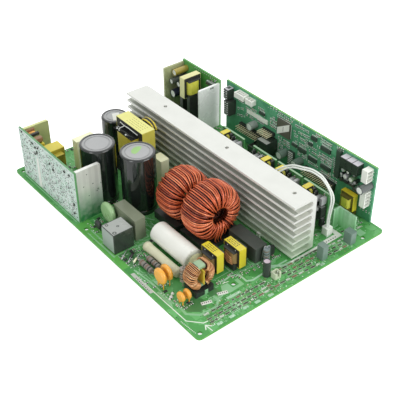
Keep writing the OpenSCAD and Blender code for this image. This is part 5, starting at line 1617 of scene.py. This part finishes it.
def axial_details():
    """Ends and leads of the axial capacitor and the rod resistor, bands of the other resistors."""
    piece = Piece("axial_details", beige_end, steel, cream_ceramic, dark_ink, band_brown)
    beige, wire, cream, ink, brown = range(5)
    low, high = low_high("axial_capacitor")
    x, y, z = (low.x + high.x) / 2, low.y, (low.z + high.z) / 2
    front = face_frame((x, y, z), (1, 0, 0), (0, 0, 1), (0, -1, 0))
    radius = (high.x - low.x) / 2
    piece.turned([(0.0, 0.0), (radius - 1.5, 0.0), (radius - 1.7, 0.1), (0.0, 0.12)], beige, 32, front, False)
    piece.turned([(1.6, 0.12), (1.1, 0.5), (0.0, 0.7)], beige, 14, front)
    lead = [(x, y - 0.4, z), (x, y - 1.8, z - 0.4), (x, y - 2.6, z - 1.8), (x, y - 2.7, BOARD_TOP)]
    piece.tube(lead, 0.45, wire, 10)
    low, high = low_high("rod_resistor")
    x, z, radius = (low.x + high.x) / 2, (low.z + high.z) / 2, (high.x - low.x) / 2
    cap = [(radius - 0.05, 0.0), (radius + 0.25, 0.4), (radius + 0.3, 2.6), (radius - 0.1, 3.8), (0.0, 4.1)]
    for end, way in ((low.y, -1), (high.y, 1)):
        piece.turned(cap, cream, 24, face_frame((x, end - way * 4.0, z), (1, 0, 0), (0, 0, 1), (0, way, 0)))
        bent_lead(piece, x, end, z, way, 0.4, wire)
    # Two upright resistors, then two lying ones
    for x, y, foot, radius in ((-62.3, -72.0, 8.0, 2.0), (-4.0, -88.4, 4.0, 2.0)):
        for z, paint in ((2.4, ink), (4.6, brown), (6.6, ink), (9.0, brown)):
            colour_band(piece, Matrix.Translation((x, y, foot + z)), radius, 0.8, paint)
    low, high = low_high("lying_resistors")
    radius = (high.z - low.z) / 2
    z = low.z + radius
    for x in (low.x + radius, high.x - radius):
        for y, paint in ((-47.6, ink), (-45.2, brown), (-42.8, ink), (-39.2, brown)):
            colour_band(piece, face_frame((x, y, z), (1, 0, 0), (0, 0, 1), (0, 1, 0)), radius, 1.1, paint)
        for end, way in ((low.y, -1), (high.y, 1)):
            bent_lead(piece, x, end - way * 0.2, z, way, 0.35, wire)
    piece.build()


def supply_board_parts():
    """Small parts, a pin row, a network, a coil and cans on the supply board."""
    piece = Piece("supply_board_parts", smd_body, tin, smd_brown, black_plastic, can_grey, cream_plastic)
    body, metal, brown, black, can, cream = range(6)
    pick = random.Random(17)
    for u, v in scatter(pick, (184, 3), (229, 41), 110, 1.6):
        if 198 < u < 216 and v > 20 or u > 216 and v > 10:
            continue
        at = spot(ON_SUPPLY, u, v, pick.choice((0, 90)))
        passive(piece, at, 1.7, 0.9, 0.5, pick.choice((body, brown, body)), metal)
    for k in range(12):
        piece.bead(spot(ON_SUPPLY, 186.0 + 2.6 * k, 41.0), 0.4, 0.25, metal)
    piece.block((186.0, 35.4, 0.0), (195.0, 38.2, 4.4), black, 0.3, ON_SUPPLY)
    for k in range(5):
        piece.stud(187.1 + 1.8 * k, 38.25, 1.0, 0.1, 1.0, 3.6, metal, 0.03, ON_SUPPLY)
    piece.block((212.0, 7.6, 0.0), (222.0, 12.4, 7.0), black, 0.4, ON_SUPPLY)
    piece.block((207.4, 3.4, 0.0), (211.6, 8.4, 8.0), can, 0.5, ON_SUPPLY)
    piece.block((200.0, 12.0, 0.0), (206.0, 17.0, 6.0), cream, 0.4, ON_SUPPLY)
    piece.can(spot(ON_SUPPLY, 192.0, 8.0), 2.6, 7.0, can, metal)
    piece.can(spot(ON_SUPPLY, 187.0, 20.0), 2.4, 6.0, cream, can)
    # Two slots in the front plate, drawn as thin dark sheets: painted shade inside the slots
    face = low_high("supply_plates")[0].y
    for x in (72.6, 74.6):
        piece.block((x, face - 0.05, 40.8), (x + 1.3, face, 42.0), body, 0.02)
    piece.build()


# Driver boards behind the heatsink: start from the front edge, place of the transformer on each
DRIVER_BOARDS = [(26.85, 16.0), (53.85, 16.6), (80.85, 5.2), (116.35, 16.2)]
# Black boxes beside the transformer: near end, foot, far end, top, how far they stand out
DRIVER_BOXES = [
    (-5.0, 12.0, -2.2, 20.6, 5.0), (-1.6, 8.0, 1.6, 15.0, 4.0), (2.2, 10.0, 5.2, 20.4, 5.6),
    (-4.8, 3.0, -2.0, 10.0, 3.4),
]


def driver_board_parts():
    piece = Piece("driver_board_parts", smd_body, tin, smd_brown, black_plastic, can_grey, light_print)
    body, metal, brown, black, can, pale = range(6)
    pick = random.Random(41)
    back = face_frame((DRIVER_BACK, FRONT_EDGE, BOARD_TOP), (0, 1, 0), (0, 0, 1), (1, 0, 0))
    for first, transformer in DRIVER_BOARDS:
        for u, v in scatter(pick, (first + 1.0, 3.0), (first + 24.0, 29.5), 46, 1.7):
            clear = abs(u - first - transformer) > 5.4 or v < 19
            for face in (ON_DRIVER, back) if clear else (back,):
                at = spot(face, u, v, pick.choice((0, 90)))
                passive(piece, at, 1.6, 0.9, 0.5, pick.choice((body, brown)), metal)
        side = first + (6.0 if transformer > 10 else 17.5)
        piece.block((side - 4.6, 22.5, 0.0), (side - 2.2, 28.5, 5.0), can, 0.25, ON_DRIVER)
        for near, low, far, high, out in DRIVER_BOXES:
            near, far = side + near, side + far
            piece.block((near, low, 0.0), (far, high, out), black, 0.25, ON_DRIVER)
            piece.block((near + 0.3, high, 0.5), (far - 0.3, high + 0.06, out - 0.4), pale, 0.02, ON_DRIVER)
        piece.can(spot(ON_DRIVER, side + 1.0, 25.6), 2.1, 8.0, can, metal)
        piece.can(spot(ON_DRIVER, side - 0.6, 18.4), 1.7, 7.0, pale, metal)
        piece.block((side + 3.6, 23.0, 0.0), (side + 5.0, 29.6, 3.2), black, 0.2, ON_DRIVER)
        for k in range(4):
            piece.stud(side + 4.3, 23.7 + 1.6 * k, 1.2, 0.6, 3.2, 3.3, metal, 0.03, ON_DRIVER)
    piece.build()


for build in (
    board_traces, board_prints, front_row_parts, board_small_parts, aux_board_solder, aux_board_parts,
    control_board_parts, relay_side_parts, header_details, relay_tops, power_tf_strands, capacitor_dabs,
    gate_tf_details, both_chokes, cm_choke_turns, axial_details, sensor_wire_pair, supply_board_parts,
    driver_board_parts,
):
    build()

# Stage, light and camera
floor_mesh = bpy.data.meshes.new("studio_floor")
reach = 6.0
corners = [(-reach, -reach, 0), (reach, -reach, 0), (reach, reach, 0), (-reach, reach, 0)]
floor_mesh.from_pydata(corners, [], [[0, 1, 2, 3]])
floor = bpy.data.objects.new("studio_floor", floor_mesh)
paper = Finish("floor_paper", (236, 236, 236), (230, 230, 230), 0.9, grain=4.0, bump=0.0, specular=0.0)
floor_mesh.materials.append(paper.material)
bpy.context.scene.collection.objects.link(floor)
seen = paper.tree.nodes.new("ShaderNodeLightPath")
paper.link(seen.outputs["Is Camera Ray"], "Emission Color")
paper.surface.inputs["Emission Strength"].default_value = 0.8

world = bpy.data.worlds.new("studio")
bpy.context.scene.world = world
world.use_nodes = True
world.node_tree.nodes["Background"].inputs["Color"].default_value = (1.0, 1.0, 1.0, 1.0)
world.node_tree.nodes["Background"].inputs["Strength"].default_value = 0.76


def soft_light(name, place, target, wide, tall, power):
    lamp = bpy.data.lights.new(name, "AREA")
    lamp.shape, lamp.size, lamp.size_y, lamp.energy = "RECTANGLE", wide, tall, power
    made = bpy.data.objects.new(name, lamp)
    made.location = place
    made.rotation_euler = (Vector(target) - Vector(place)).to_track_quat("-Z", "Y").to_euler()
    bpy.context.scene.collection.objects.link(made)


soft_light("back_top", (0.45, 0.62, 1.1), (0, 0, 0), 1.7, 1.7, 6.0)
soft_light("left_strip", (-1.0, -0.25, 0.45), (0, 0, 0.03), 0.35, 0.9, 2.8)
soft_light("front_card", (0.35, -1.1, 0.55), (0, 0, 0.02), 0.8, 0.6, 6.5)

CAMERA_PLACE = Vector((-298.6944, -391.2776, 375.9345)) * MM
CAMERA_AZIMUTH, CAMERA_HEIGHT, CAMERA_ROLL = 4.045834, 0.650138, -0.007971
FOCAL_PIXELS = 825.42
ahead = -Vector((math.cos(CAMERA_HEIGHT) * math.cos(CAMERA_AZIMUTH),
                 math.cos(CAMERA_HEIGHT) * math.sin(CAMERA_AZIMUTH), math.sin(CAMERA_HEIGHT)))
level = ahead.cross(Vector((0, 0, 1))).normalized()
upward = level.cross(ahead)
right = math.cos(CAMERA_ROLL) * level + math.sin(CAMERA_ROLL) * upward
upward = math.cos(CAMERA_ROLL) * upward - math.sin(CAMERA_ROLL) * level
lens = bpy.data.cameras.new("photo_camera")
lens.sensor_width = 36.0
lens.lens = FOCAL_PIXELS / 400 * lens.sensor_width
camera = bpy.data.objects.new("photo_camera", lens)
camera.matrix_world = face_frame(CAMERA_PLACE, right, upward, -ahead)
bpy.context.scene.collection.objects.link(camera)
bpy.context.scene.camera = camera
bpy.context.scene.view_settings.view_transform = "Standard"
